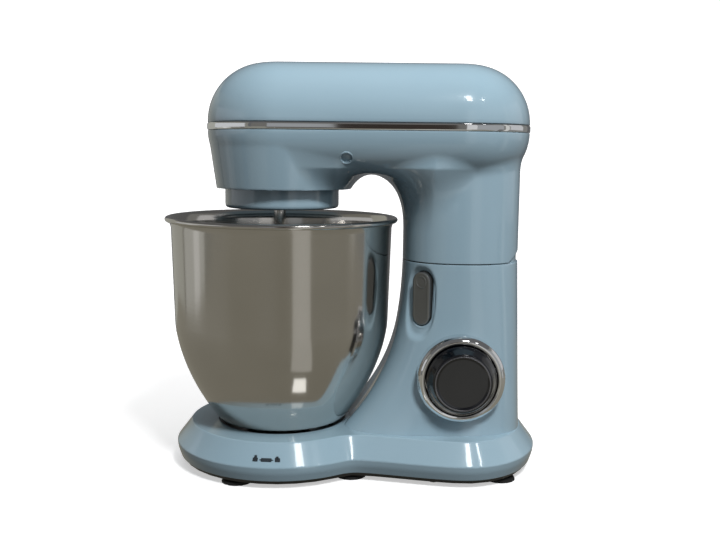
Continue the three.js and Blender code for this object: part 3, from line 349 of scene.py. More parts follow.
def turned(points, steps=128):
    """An outline of (radius, height) pairs turned about Z."""
    bm = bmesh.new()
    profile = line(bm, [(radius, 0, height) for radius, height in points])
    bmesh.ops.spin(bm, geom=profile, cent=(0, 0, 0), axis=(0, 0, 1), angle=2 * pi, steps=steps,
                   use_merge=True)
    return bm


def swept_round_head(points, straight_steps=24, turn_steps=72):
    """An outline of (inset, height) pairs run round the head, which is straight between two
    half circles."""
    bm = bmesh.new()
    last = line(bm, [(0, -(HEAD_RADIUS - inset), height) for inset, height in points])
    for centre, travel in ((0, HEAD_REAR_X), (HEAD_REAR_X, -HEAD_REAR_X)):
        last = bmesh.ops.spin(bm, geom=last, cent=(centre, 0, 0), axis=(0, 0, 1), angle=-pi,
                              steps=turn_steps)["geom_last"]
        for _ in range(straight_steps):
            edges = [item for item in last if isinstance(item, bmesh.types.BMEdge)]
            last = bmesh.ops.extrude_edge_only(bm, edges=edges)["geom"]
            corners = [item for item in last if isinstance(item, bmesh.types.BMVert)]
            bmesh.ops.translate(bm, verts=corners, vec=(travel / straight_steps, 0, 0))
            last = [item for item in last if not isinstance(item, bmesh.types.BMFace)]
    return bm


def sheet_grid(across, up, place):
    """A fine grid whose (0..1, 0..1) points are put where place says."""
    bm = bmesh.new()
    bmesh.ops.create_grid(bm, x_segments=across, y_segments=up, size=1)
    for corner in bm.verts:
        corner.co = place((corner.co.x + 1) / 2, (corner.co.y + 1) / 2)
    return bm


def walled(made, thickness, edge=0.5):
    """Gives an open skin its wall, inwards, and eases the wall's edges."""
    wall = made.modifiers.new("wall", "SOLIDIFY")
    wall.thickness = thickness * 0.001
    wall.offset = -1
    wall.use_even_offset = True
    ease = made.modifiers.new("ease", "BEVEL")
    ease.width = edge * 0.001
    ease.segments = 2
    ease.limit_method = "ANGLE"
    ease.angle_limit = radians(60)


def smooth_step(value):
    """Eases a value from 0 to 1, and holds it there outside that range."""
    value = min(1.0, max(0.0, value))
    return value * value * (3 - 2 * value)


def smooth_min(a, b, reach):
    """The smaller of two distances, blended where they are within reach of each other."""
    near = np.maximum(reach - np.abs(a - b), 0) / reach
    return np.minimum(a, b) - near * near * reach / 4


# ---- Bowl ----


def bowl_radius(z):
    """The bowl's radius outside: a rounded belly up to the waist, then a slight flare."""
    if z < BOWL_WAIST_Z:
        drop = (BOWL_WAIST_Z - z) * BOWL_ROUNDING / (BOWL_WAIST_Z - BOWL_BOTTOM_Z)
        return BOWL_WAIST_RADIUS * (1 - drop ** BOWL_CURVE) ** (1 / BOWL_CURVE)
    share = (z - BOWL_WAIST_Z) / (RIM_Z - BOWL_WAIST_Z)
    return BOWL_WAIST_RADIUS + (BOWL_MOUTH_RADIUS - BOWL_WAIST_RADIUS) * share


FOOT_INSET = 9.6
BELLY_STEPS = 28
BELLY_START = 1.5
CURL_HALF_WIDTH = 2.4
CURL_HALF_HEIGHT = 2.2
CURL_TURN = 120

foot_radius = bowl_radius(BOWL_BOTTOM_Z) - FOOT_INSET
foot_bottom = cad("bowl")[0].z
belly_height = BOWL_WAIST_Z - BOWL_BOTTOM_Z - BELLY_START
belly = [
    BOWL_WAIST_Z - belly_height * cos(i / BELLY_STEPS * pi / 2) for i in range(BELLY_STEPS + 1)]
outside = [(bowl_radius(z), z) for z in belly] + [(BOWL_MOUTH_RADIUS - 0.6, RIM_Z - 9)]
rim_curl = [
    (RIM_RADIUS - CURL_HALF_WIDTH + CURL_HALF_WIDTH * cos(radians(turn)),
     RIM_Z - CURL_HALF_HEIGHT + CURL_HALF_HEIGHT * sin(radians(turn)))
    for turn in range(-CURL_TURN, CURL_TURN + 1, 12)
]
inside = [(r - BOWL_WALL, z) for r, z in reversed(outside)]
floor_radius = bowl_radius(BOWL_BOTTOM_Z) - 4
bowl_outline = (
    [(0, BOWL_BOTTOM_Z)]
    + rounded([
        (foot_radius - 8, BOWL_BOTTOM_Z), (foot_radius - 2, BOWL_BOTTOM_Z),
        (foot_radius - 2, foot_bottom), (foot_radius, foot_bottom), (foot_radius, BOWL_BOTTOM_Z),
        (foot_radius + 3, BOWL_BOTTOM_Z), (foot_radius + 3.6, BOWL_BOTTOM_Z + 0.9),
        (foot_radius + 8, BOWL_BOTTOM_Z + 0.9),
    ], 0.6, 3)
    + outside
    + [(RIM_RADIUS - 4.2, RIM_Z - 6), (RIM_RADIUS - 3.8, RIM_Z - 4.6)]
    + rim_curl
    + [(BOWL_MOUTH_RADIUS - BOWL_WALL + 0.3, RIM_Z - 2)]
    + inside
    + [(floor_radius, BOWL_BOTTOM_Z + 1.4), (0, BOWL_BOTTOM_Z + BOWL_WALL)]
)
bowl = shown("steel_bowl", turned(bowl_outline, 160), STEEL)
fitted(bowl, "bowl", "steel", "bowl")

# ---- Base: foot ----

OUTLINE_POINTS = 300
PATH_STEPS = 200
SMOOTHING_PASSES = 6
LOBE_LEAD = 10
SHOULDER_LEAD = 28


def base_outline():
    """The base at its crease seen from above: a round lobe, a waist and a wide rear."""
    start = Vector((cos(LOBE_SWEEP), sin(LOBE_SWEEP))) * LOBE_RADIUS
    lead = Vector((sin(LOBE_SWEEP), -cos(LOBE_SWEEP))) * LOBE_LEAD
    shoulder = Vector((REACH, REAR_HALF_WIDTH))
    path = []
    for i in range(PATH_STEPS):
        angle = pi / 2 * i / PATH_STEPS
        path.append(Vector((REACH + REAR_LENGTH * cos(angle), REAR_HALF_WIDTH * sin(angle))))
    a, b, c, d = shoulder, shoulder - Vector((SHOULDER_LEAD, 0)), start + lead, start
    for i in range(PATH_STEPS):
        t = i / PATH_STEPS
        path.append(
            a * (1 - t) ** 3 + b * (3 * t * (1 - t) ** 2) + c * (3 * t ** 2 * (1 - t)) + d * t ** 3)
    for i in range(2 * PATH_STEPS):
        angle = LOBE_SWEEP + (pi - LOBE_SWEEP) * i / (2 * PATH_STEPS)
        path.append(Vector((LOBE_RADIUS * cos(angle), LOBE_RADIUS * sin(angle))))
    return path + [Vector((-LOBE_RADIUS, 0))] + [Vector((p.x, -p.y)) for p in reversed(path[1:])]


def evenly(path, count):
    """Points at even steps round a closed path."""
    points = np.array([tuple(p) for p in [*path, path[0]]])
    run = np.concatenate([[0], np.cumsum(np.hypot(*np.diff(points, axis=0).T))])
    at = np.linspace(0, run[-1], count, endpoint=False)
    return np.column_stack([np.interp(at, run, points[:, 0]), np.interp(at, run, points[:, 1])])


outline = evenly(base_outline(), OUTLINE_POINTS)
for _ in range(SMOOTHING_PASSES):
    outline = (np.roll(outline, 1, 0) + 2 * outline + np.roll(outline, -1, 0)) / 4
along = np.roll(outline, -1, 0) - np.roll(outline, 1, 0)
along /= np.hypot(*along.T)[:, None]
inwards = np.column_stack([-along[:, 1], along[:, 0]])


foot_profile = rounded([
    (WALL + 3, SHELL_BOTTOM_Z), (3, SHELL_BOTTOM_Z), (0.6, CREASE_Z - 5), (0, CREASE_Z),
    (PLATEAU_INSET, PLATEAU_Z), (PLATEAU_INSET + 8, PLATEAU_Z),
], [0, 0.5, 2, 0.9, 1.0, 0])
recess_profile = rounded([
    (RECESS_RADIUS + 5, PLATEAU_Z), (RECESS_RADIUS + 0.2, PLATEAU_Z),
    (RECESS_RADIUS, PLATEAU_Z - RECESS_DEPTH), (RECESS_RADIUS - 30, PLATEAU_Z - RECESS_DEPTH),
], 1.2)
rings = len(foot_profile) + len(recess_profile)


def foot_place(u, v):
    """The base's skin: rings of its outline up to the plateau, then round rings into the
    recess."""
    i = round(u * OUTLINE_POINTS) % OUTLINE_POINTS
    ring = round(v * (rings - 1))
    if ring < len(foot_profile):
        inset, z = foot_profile[ring]
        x, y = outline[i] + inwards[i] * inset
        return x, y, z
    radius, z = recess_profile[ring - len(foot_profile)]
    distance = hypot(*outline[i])
    return outline[i][0] / distance * radius, outline[i][1] / distance * radius, z


foot = shown("base_foot", sheet_grid(OUTLINE_POINTS, rings - 1, foot_place), BLUE)
fitted(foot, "base", "blue", "base_shell")

# ---- Base: column, with the button's pocket ----

BUTTON_TURN = radians(38)
BUTTON_OUT = Vector((-sin(BUTTON_TURN), -cos(BUTTON_TURN), 0))
BUTTON_ACROSS = Vector((cos(BUTTON_TURN), -sin(BUTTON_TURN), 0))
BUTTON_CENTRE = sum(cad("release_button"), Vector()) / 2
BUTTON_FRONT = BUTTON_CENTRE + BUTTON_OUT * 4.5
BUTTON_WIDTH = 17
BUTTON_HEIGHT = cad("release_button")[1].z - cad("release_button")[0].z
POCKET_DEPTH = 2.8
POCKET_SHIFT = 1.2
POCKET_HALF_WIDTH = 15
POCKET_ABOVE = 28
POCKET_BELOW = 36
POCKET_SQUARENESS = 2.6
POCKET_EDGE = 0.2
BUTTON_GAP = 1.5
KNOB_AXIS = sum(cad("knob"), Vector()) / 2
BEZEL_BACK_Y = cad("knob_bezel")[1].y
BEZEL_RADIUS = (cad("knob_bezel")[1].x - cad("knob_bezel")[0].x) / 2
KNOB_RADIUS = (cad("knob")[1].x - cad("knob")[0].x) / 2
BEZEL_OVERLAP = 3.5
FRONT_LEAN = 4
FRONT_FLARE = 40
FRONT_CURVE = 8
REAR_LEAN = 3.5
SIDE_FLARE = 11
SCOOP_BLEND = 6
COLUMN_SINK = 0.6
COLUMN_WALL = 2.6


def column_section(z, inset=0.0):
    """Middle, half length, half depth and squareness of the column at a height."""
    drop = max(0.0, (SEAM_Z - z) / (SEAM_Z - PLATEAU_Z))
    front = REACH - COLUMN_HALF_LENGTH + inset
    front = front - FRONT_LEAN * drop - FRONT_FLARE * drop ** 3 - FRONT_CURVE * drop ** 2
    rear = REACH + COLUMN_HALF_LENGTH - inset + REAR_LEAN * min(drop, 1)
    depth = COLUMN_HALF_DEPTH - inset + SIDE_FLARE * drop ** 3
    return (front + rear) / 2, (rear - front) / 2, depth, COLUMN_SQUARENESS + min(drop, 1)


def column_point(turn, z, inset=0.0):
    """A point of the column's skin, scooped out to clear the bowl."""
    middle, half_length, half_depth, square = column_section(z, inset)
    c, s = cos(turn), sin(turn)
    reach = (abs(c / half_length) ** square + abs(s / half_depth) ** square) ** (-1 / square)
    clear = bowl_radius(max(z, BOWL_BOTTOM_Z)) + BOWL_CLEARANCE
    hits = clear ** 2 - (middle * s) ** 2
    if c < 0 < hits:
        reach = float(smooth_min(reach, -middle * c - sqrt(hits), SCOOP_BLEND))
    return Vector((middle + reach * c, reach * s, z))


def pocket_point(point):
    """Sinks the skin round the button into a shallow pocket, longer below than above."""
    across = (point - BUTTON_CENTRE).dot(BUTTON_ACROSS) + POCKET_SHIFT
    rise = point.z - BUTTON_CENTRE.z
    on_other_side = (point - BUTTON_CENTRE).dot(BUTTON_OUT) < -12
    if on_other_side or abs(across) > POCKET_HALF_WIDTH + 5:
        return point
    span = POCKET_ABOVE if rise > 0 else POCKET_BELOW
    far = (
        (abs(across) / POCKET_HALF_WIDTH) ** POCKET_SQUARENESS
        + (abs(rise) / span) ** POCKET_SQUARENESS) ** (1 / POCKET_SQUARENESS)
    return point - BUTTON_OUT * POCKET_DEPTH * smooth_step((1 - far) / POCKET_EDGE)


def capsule_distance(point, grow=0.0):
    """How far a point is outside the button's outline, seen face on."""
    across = (point - BUTTON_CENTRE).dot(BUTTON_ACROSS)
    rise = max(0.0, abs(point.z - BUTTON_CENTRE.z) - (BUTTON_HEIGHT - BUTTON_WIDTH) / 2)
    return hypot(across, rise) - BUTTON_WIDTH / 2 - grow


column_height = SEAM_Z - SEAM_HALF_GAP - PLATEAU_Z + COLUMN_SINK
column_mesh = sheet_grid(280, 104, lambda u, v: pocket_point(
    column_point(2 * pi * u, PLATEAU_Z - COLUMN_SINK + column_height * v)))
bmesh.ops.remove_doubles(column_mesh, verts=column_mesh.verts, dist=MERGE_DISTANCE)
column_skin = BVHTree.FromBMesh(column_mesh)
openings = []
for face in column_mesh.faces:
    middle = face.calc_center_median()
    from_knob = hypot(middle.x - KNOB_AXIS.x, middle.z - KNOB_AXIS.z)
    behind_knob = from_knob < BEZEL_RADIUS - BEZEL_OVERLAP and middle.y < 0
    facing_button = (middle - BUTTON_CENTRE).dot(BUTTON_OUT) > -14
    if behind_knob or (facing_button and capsule_distance(middle) < BUTTON_GAP):
        openings.append(face)
bmesh.ops.delete(column_mesh, geom=openings, context="FACES")
column = shown("base_column", column_mesh, BLUE)
walled(column, COLUMN_WALL)
fitted(column, "base", "blue")

SHROUD_TURN = 62
SHROUD_INSET = 1.5
SHROUD_ROOT = 3.0
SHROUD_CLEARANCE = 1.0
LIP_INSET = 2.2
LIP_ROOT = 4
LIP_HEIGHT = 4.2


def shroud_place(u, v):
    """The upstand behind the hinge, which fills the head's tilting notch."""
    turn = radians(-SHROUD_TURN + 2 * SHROUD_TURN * u)
    low = column_point(turn, SEAM_Z - SHROUD_ROOT, SHROUD_INSET)
    rise = max(0.0, (low.x - HINGE.x) * tan(TILT_RELIEF) - SHROUD_CLEARANCE)
    return low.x, low.y, SEAM_Z - SHROUD_ROOT + (SHROUD_ROOT + rise) * v


shroud = shown("hinge_shroud", sheet_grid(60, 8, shroud_place), BLUE)
walled(shroud, 1.4, 0.3)
fitted(shroud, "base", "blue")

# A black lip inside the seam between the base and the head, put there as painted shade so that the
# seam reads as a dark, shadowed gap.
lip = shown("seam_shade_lip", sheet_grid(240, 4, lambda u, v: column_point(
    2 * pi * u, SEAM_Z - LIP_ROOT + LIP_HEIGHT * v, LIP_INSET)), BLACK)
walled(lip, 1.2, 0.2)
fitted(lip, "base", "black")

# ---- Release button ----

BUTTON_STEPS = 96
RAY_START = 15

button_outline = []
for i in range(BUTTON_STEPS):
    angle = 2 * pi * (i + 0.5) / BUTTON_STEPS
    lift = (BUTTON_HEIGHT - BUTTON_WIDTH) / 2 * (1 if sin(angle) > 0 else -1)
    button_outline.append((cos(angle), sin(angle), lift))


def capsule_point(u, grow, out):
    """A point of the button's outline, grown sideways and moved out from its front."""
    c, s, lift = button_outline[round(u * BUTTON_STEPS) % BUTTON_STEPS]
    radius = BUTTON_WIDTH / 2 + grow
    sideways = BUTTON_ACROSS * (radius * c)
    return BUTTON_FRONT + sideways + Vector((0, 0, radius * s + lift)) + BUTTON_OUT * out


def surround_place(u, v):
    """A lip round the button's hole, lying on the pocket's floor."""
    grow, height = surround_profile[round(v * (len(surround_profile) - 1))]
    start = capsule_point(u, max(grow, 0.9), RAY_START)
    hit = column_skin.ray_cast(start, -BUTTON_OUT)[0]
    return hit + BUTTON_OUT * height + (capsule_point(u, grow, RAY_START) - start)


surround_profile = rounded([(3.2, -0.8), (2.8, 0.16), (0.8, 0.16), (0.6, -5.5)], 0.45, 4)
surround_mesh = sheet_grid(BUTTON_STEPS, len(surround_profile) - 1, surround_place)
surround = shown("button_surround", surround_mesh, BLUE)
fitted(surround, "base", "blue")

button_profile = rounded([
    (0, -8.6), (0, -0.6), (-1.6, 0), (-2.6, -0.28), (-6.5, -0.4), (-8.3, -0.4),
], [0, 0.9, 0.7, 0.5, 1, 0])
button_mesh = sheet_grid(BUTTON_STEPS, len(button_profile) - 1, lambda u, v: capsule_point(
    u, *button_profile[round(v * (len(button_profile) - 1))]))
bmesh.ops.remove_doubles(button_mesh, verts=button_mesh.verts, dist=MERGE_DISTANCE)
rims = [edge for edge in button_mesh.edges if edge.is_boundary]
bmesh.ops.holes_fill(button_mesh, edges=rims)
button = shown("release_button_cap", button_mesh, DARK_METAL)
fitted(button, "release_button", "dark_metal", "release_button")

mark_turn = BUTTON_OUT.to_track_quat("Z", "Y").to_matrix().to_4x4()
mark_place = BUTTON_FRONT + Vector((0, 0, (BUTTON_HEIGHT - BUTTON_WIDTH) / 2))
mark = shown("button_mark", turned(rounded([
    (0, -0.35), (2.6, -0.32), (3.2, -0.75), (3.9, -0.75), (4.3, -0.02), (5.2, -0.02), (5.6, -0.6),
], 0.25, 3), 64), DARK_METAL, Matrix.Translation(mark_place) @ mark_turn)
fitted(mark, "release_button", "dark_metal")

# ---- Speed knob ----

RING_INSET = 6.4

knob_turn = (
    Matrix.Translation((KNOB_AXIS.x, BEZEL_BACK_Y, KNOB_AXIS.z)) @ Matrix.Rotation(pi / 2, 4, "X"))
bezel_depth = BEZEL_BACK_Y - cad("knob_bezel")[0].y
knob_back = BEZEL_BACK_Y - cad("knob")[1].y
knob_depth = BEZEL_BACK_Y - cad("knob")[0].y
bezel = shown("bezel_ring", turned(closed_outline([
    (BEZEL_RADIUS, 0), (BEZEL_RADIUS, bezel_depth - 4.2), (BEZEL_RADIUS - 1.6, bezel_depth - 1.6),
    (BEZEL_RADIUS - 4.0, bezel_depth), (KNOB_RADIUS + 1.1, bezel_depth - 0.9),
    (KNOB_RADIUS + 0.7, bezel_depth - 2.2), (KNOB_RADIUS + 0.7, 1.4), (8, 1.4), (8, 0),
], [1.2, 0.8, 1.6, 1.6, 0.7, 0.5, 0.5, 0.5, 0.3, 0.8, 1.6], 5), 160), CHROME, knob_turn)
fitted(bezel, "base", "chrome", "knob_bezel")

ring_radius = KNOB_RADIUS - RING_INSET
knob = shown("knob_dial", turned(rounded([
    (0, knob_back), (KNOB_RADIUS, knob_back), (KNOB_RADIUS, bezel_depth + 0.5),
    (KNOB_RADIUS - 1.6, bezel_depth + 2.6), (ring_radius + 1.6, knob_depth - 0.6),
    (ring_radius + 0.3, knob_depth), (ring_radius - 1.1, knob_depth - 0.1),
    (ring_radius - 2.4, knob_depth - 0.8), (0, knob_depth - 1.0),
], [0, 0.4, 0.8, 1.6, 1.0, 0.5, 0.5, 1.2, 0]), 160), BLACK, knob_turn)
fitted(knob, "knob", "black", "knob")

ring_points = [
    (ring_radius - 0.4 + 0.55 * cos(step * pi / 6), knob_depth - 0.12 + 0.3 * sin(step * pi / 6))
    for step in range(13)
]
knob_ring = shown("knob_ring", turned(ring_points, 160), SILVER, knob_turn)
fitted(knob_ring, "knob", "chrome")

# ---- Head: casing ----


# How wide the casing's joins melt, below a strip under the band that stays sharp. Each join
# widens over MELT_RUN along the head, from its least share.
BULB_MELT = 26
BULB_MELT_X = 8
BULB_LEAST = 0.05
COLUMN_MELT = 36
COLUMN_MELT_X = REACH + 12
COLUMN_LEAST = 0.14
MELT_RUN = 40
SHARP_STRIP = 8
STRIP_FADE = 22
STRIP_LEAST = 0.02


def casing_field(points):
    """Below zero inside the casing: the head's underside, the bulb over the bowl and the upper
    column, melted into each other."""
    x, y, z = points.T
    across = np.hypot(x - np.clip(x, 0, HEAD_REAR_X), y)
    side = np.maximum(across - (HEAD_RADIUS - NECK_INSET), 0) / NECK_INSET
    under = np.maximum(BAND_Z - z, 0) / (BAND_Z - NECK_Z)
    hull = (np.hypot(side, under) - 1) * NECK_INSET
    rise = np.minimum((z - BULB_BOTTOM_Z) / (BAND_Z - BULB_BOTTOM_Z), 1)
    bulb = np.hypot(x, y) - BULB_BOTTOM_RADIUS - BULB_TAPER * rise
    square = COLUMN_SQUARENESS
    column = ((np.abs((x - REACH) / COLUMN_HALF_LENGTH) ** square
               + np.abs(y / COLUMN_HALF_DEPTH) ** square) ** (1 / square) - 1) * COLUMN_HALF_DEPTH
    low = np.clip((BAND_Z - SHARP_STRIP - z) / STRIP_FADE, STRIP_LEAST, 1)
    bulb_melt = BULB_MELT * low * np.clip((x - BULB_MELT_X) / MELT_RUN, BULB_LEAST, 1)
    column_melt = COLUMN_MELT * low * np.clip((COLUMN_MELT_X - x) / MELT_RUN, COLUMN_LEAST, 1)
    return smooth_min(smooth_min(hull, bulb, bulb_melt), column, column_melt)


def casing_slope(points):
    """The field's value and its gradient."""
    value = casing_field(points)
    step = 0.05
    slope = np.stack([
        (casing_field(points + step * axis) - value) / step for axis in np.eye(3)], axis=1)
    return value, slope


LEAST_SLOPE = 0.05
LONGEST_MOVE = 2.5


def settled(points, times):
    """Points moved on to the casing's surface, a short way at a time."""
    for _ in range(times):
        value, slope = casing_slope(points)
        size = np.maximum(np.sum(slope ** 2, axis=1), LEAST_SLOPE)
        move = -slope * (value / size)[:, None]
        length = np.maximum(np.linalg.norm(move, axis=1), 1e-9)
        points = points + move * np.minimum(1, LONGEST_MOVE / length)[:, None]
    return points


def drum(bm, x, half_length, half_depth, z0, z1):
    """An upright oval block."""
    place = Matrix.Translation((x, 0, (z0 + z1) / 2))
    bmesh.ops.create_cone(
        bm, cap_ends=True, segments=96, radius1=1, radius2=1, depth=z1 - z0,
        matrix=place @ Matrix.Diagonal((half_length, half_depth, 1, 1)))


def remeshed(bm, grain):
    """One skin of small even faces round everything in a mesh."""
    rough_mesh = bpy.data.meshes.new("rough")
    bm.to_mesh(rough_mesh)
    bm.free()
    rough = bpy.data.objects.new("rough", rough_mesh)
    bpy.context.scene.collection.objects.link(rough)
    skin = rough.modifiers.new("skin", "REMESH")
    skin.mode = "VOXEL"
    skin.voxel_size = grain
    graph = bpy.context.evaluated_depsgraph_get()
    made = bpy.data.meshes.new_from_object(rough.evaluated_get(graph))
    bpy.data.objects.remove(rough)
    return made


# Rough blocks run past the casing's open ends, which are cut off once the skin has settled.
MARGIN = 11
PINNED = MARGIN - 3
BLOCK_INSET = 3
CASING_GRAIN = 1.7
BLOCK_RADIUS = HEAD_RADIUS - BLOCK_INSET
ARCH_X = HEAD_REAR_X / 2

casing_blocks = bmesh.new()
drum(casing_blocks, 0, BLOCK_RADIUS, BLOCK_RADIUS, BULB_BOTTOM_Z - MARGIN, BAND_Z + MARGIN)
drum(casing_blocks, HEAD_REAR_X, BLOCK_RADIUS, BLOCK_RADIUS, NECK_Z + 4, BAND_Z + MARGIN)
drum(casing_blocks, REACH, COLUMN_HALF_LENGTH, COLUMN_HALF_DEPTH, SEAM_Z - MARGIN, BAND_Z + MARGIN)
block_place = Matrix.Translation((ARCH_X, 0, (NECK_Z + BAND_Z + MARGIN) / 2))
block_size = Matrix.Diagonal((HEAD_REAR_X, 2 * BLOCK_RADIUS, BAND_Z + MARGIN - NECK_Z, 1))
bmesh.ops.create_cube(casing_blocks, size=1, matrix=block_place @ block_size)
casing_skin = remeshed(casing_blocks, CASING_GRAIN)
places = np.empty(len(casing_skin.vertices) * 3)
casing_skin.vertices.foreach_get("co", places)
places = places.reshape(-1, 3)
pairs = np.empty(len(casing_skin.edges) * 2, dtype=np.int64)
casing_skin.edges.foreach_get("vertices", pairs)
pairs = pairs.reshape(-1, 2)
links = np.bincount(pairs.ravel(), minlength=len(places))
free = ~((places[:, 2] > BAND_Z + PINNED) | (places[:, 2] < SEAM_Z - PINNED)
         | ((places[:, 0] < ARCH_X) & (places[:, 2] < BULB_BOTTOM_Z - PINNED)))
places[free] = settled(places[free], 14)
# The mesh relaxes and settles in turns, so its faces grow even along the surface.
for _ in range(10):
    beside = np.column_stack([
        np.bincount(pairs[:, 0], places[pairs[:, 1], k], len(places))
        + np.bincount(pairs[:, 1], places[pairs[:, 0], k], len(places)) for k in range(3)])
    places[free] = 0.5 * places[free] + 0.5 * (beside / links[:, None])[free]
    places[free] = settled(places[free], 2)
casing_skin.vertices.foreach_set("co", places.ravel())

casing_mesh = bmesh.new()
casing_mesh.from_mesh(casing_skin)


def sliced(bm, chosen, place, away):
    """Cuts off what lies beyond a plane, among the chosen faces."""
    faces = [face for face in bm.faces if chosen(face.calc_center_median())]
    geometry = {item for face in faces for item in (face, *face.edges, *face.verts)}
    bmesh.ops.bisect_plane(bm, geom=list(geometry), dist=0.0001, plane_co=place, plane_no=away,
                           clear_outer=True)


NEAR_CUT = 8
BAND_GAP = 0.1
PLUG_HOLE_RADIUS = 4.3

sliced(casing_mesh, lambda at: at.z > BAND_Z - NEAR_CUT, (0, 0, BAND_Z - BAND_GAP), (0, 0, 1))
sliced(casing_mesh, lambda at: at.z < BULB_BOTTOM_Z + NEAR_CUT and at.x < ARCH_X,
       (0, 0, BULB_BOTTOM_Z), (0, 0, -1))
sliced(casing_mesh, lambda at: at.z < SEAM_Z + NEAR_CUT,
       (0, 0, SEAM_Z + SEAM_HALF_GAP), (0, 0, -1))
sliced(casing_mesh, lambda at: at.x > HINGE.x - 2 and at.z < HINGE.z + 30,
       HINGE, (sin(TILT_RELIEF), 0, -cos(TILT_RELIEF)))
bmesh.ops.remove_doubles(casing_mesh, verts=casing_mesh.verts, dist=0.25)
PLUG_CENTRE = sum(cad("screw_plug_left"), Vector()) / 2
plug_places = {
    side: settled(np.array([[PLUG_CENTRE.x, sign * (HEAD_RADIUS - 4), PLUG_CENTRE.z]]), 20)
    for side, sign in (("left", -1), ("right", 1))}
plug_holes = [face for face in casing_mesh.faces if any(
    (face.calc_center_median() - Vector(place[0])).length < PLUG_HOLE_RADIUS
    for place in plug_places.values())]
bmesh.ops.delete(casing_mesh, geom=plug_holes, context="FACES")
casing = shown("head_body", casing_mesh, BLUE)
walled(casing, WALL)
fitted(casing, "head", "blue", "head_casing")

# The bulb's floor, a ring round the turning skirt.
SKIRT_RADIUS = cad("planet_carrier")[1].y
SKIRT_BOTTOM_Z = cad("planet_carrier")[0].z
SKIRT_TOP_Z = cad("planet_carrier")[1].z
SKIRT_WALL = 2.5
floor_inner, floor_outer = SKIRT_RADIUS + 1.5, BULB_BOTTOM_RADIUS - 1.2
floor_ring = shown("bulb_floor", turned(closed_outline([
    (floor_inner, BULB_BOTTOM_Z), (floor_outer, BULB_BOTTOM_Z),
    (floor_outer, BULB_BOTTOM_Z + WALL), (floor_inner, BULB_BOTTOM_Z + WALL),
], 0.6, 3)), BLUE)
fitted(floor_ring, "head", "blue")

# ---- Head: cover and band ----


def crown(inset, bottom, height, steps):
    """A quarter ellipse from the head's side up to its flat middle."""
    turns = [i / steps * pi / 2 for i in range(steps + 1)]
    return [
        (inset + (CROWN_INSET - inset) * (1 - cos(turn)), bottom + height * sin(turn))
        for turn in turns
    ]


EDGE_HEIGHT = 0.7
crown_height = HEAD_TOP_Z - COVER_Z
cover_outline = (
    [(HEAD_RADIUS, HEAD_TOP_Z), (CROWN_INSET + 4, HEAD_TOP_Z)]
    + crown(0, COVER_Z + EDGE_HEIGHT, crown_height - EDGE_HEIGHT, 30)[::-1]
    + [(0.12, COVER_Z + 0.25), (0.5, COVER_Z), (WALL, COVER_Z)]
    + crown(WALL, COVER_Z + EDGE_HEIGHT, crown_height - WALL - EDGE_HEIGHT, 16)
    + [(HEAD_RADIUS, HEAD_TOP_Z - WALL)]
)
cover = shown("head_cover_shell", swept_round_head(cover_outline), BLUE)
fitted(cover, "head", "blue", "head_cover")

band_low, band_high = cad("trim_band")[0].z, cad("trim_band")[1].z
band = shown("chrome_band", swept_round_head(closed_outline([
    (WALL, band_low), (-0.1, band_low), (-0.5, band_low + 1.4), (-0.5, band_high - 1.4),
    (-0.1, band_high), (WALL, band_high),
], 0.5, 3)), CHROME)
fitted(band, "head", "chrome", "trim_band")

# ---- Head: screw plugs ----

for side, place in plug_places.items():
    outwards = Vector(casing_slope(place)[1][0]).normalized()
    facing = outwards.to_track_quat("Z", "Y").to_matrix().to_4x4()
    upright = Matrix.Translation(Vector(place[0])) @ facing
    plug = shown(f"screw_cap_{side}", turned(rounded([
        (0, -0.9), (3.0, -1.1), (3.9, -1.7), (4.5, -0.1), (5.1, 0.16), (6.2, -0.25), (6.3, -2.0),
        (4.9, -2.6),
    ], [0, 1, 0.4, 0.5, 0.5, 0.5, 0.3, 0], 4), 64), BLUE, upright)
    fitted(plug, "head", "blue", f"screw_plug_{side}")

# ---- Planetary skirt and tool shaft ----

TOOL_PLACE = sum(cad("tool_shaft"), Vector()) / 2
skirt_mesh = turned(rounded([
    (0, SKIRT_BOTTOM_Z), (SKIRT_RADIUS, SKIRT_BOTTOM_Z), (SKIRT_RADIUS, SKIRT_TOP_Z),
    (SKIRT_RADIUS - SKIRT_WALL, SKIRT_TOP_Z), (SKIRT_RADIUS - SKIRT_WALL, SKIRT_BOTTOM_Z + 4),
    (0, SKIRT_BOTTOM_Z + 4),
], [0, 3.2, 0.4, 0.4, 0.4, 0]))
skirt = shown("planetary_skirt", skirt_mesh, BLUE)
fitted(skirt, "planet_carrier", "blue", "planet_carrier")
TOOL_RADIUS = 5
PIN_RADIUS = 1.5
PIN_HALF_LENGTH = 8
PIN_LIFT = 6
tool_low, tool_high = cad("tool_shaft")[0].z, cad("tool_shaft")[1].z
shaft = shown("steel_tool_shaft", turned(rounded([
    (0, tool_low), (TOOL_RADIUS, tool_low), (TOOL_RADIUS, tool_high), (0, tool_high),
], 0.9, 3), 64), STEEL, Matrix.Translation((0, TOOL_PLACE.y, 0)))
fitted(shaft, "tool_shaft", "steel", "tool_shaft")
pin = shown("shaft_cross_pin", turned(rounded([
    (0, -PIN_HALF_LENGTH), (PIN_RADIUS, -PIN_HALF_LENGTH), (PIN_RADIUS, PIN_HALF_LENGTH),
    (0, PIN_HALF_LENGTH),
], 0.4, 3), 32), STEEL,
    Matrix.Translation((0, TOOL_PLACE.y, tool_low + PIN_LIFT)) @ Matrix.Rotation(pi / 2, 4, "Y"))
fitted(pin, "tool_shaft", "steel")

# ---- Lock symbols on the base's bevel ----


SYMBOL_DEPTH = 0.12
SYMBOL_DROP = 3.2
SYMBOL_SPACING = 9.4
SYMBOL_TURN = radians(-93.5)
HOOP_OUTER = 1.5
HOOP_INNER = 0.9
HOOP_LEG = 1.2
HOOP_LIFT = 1.9


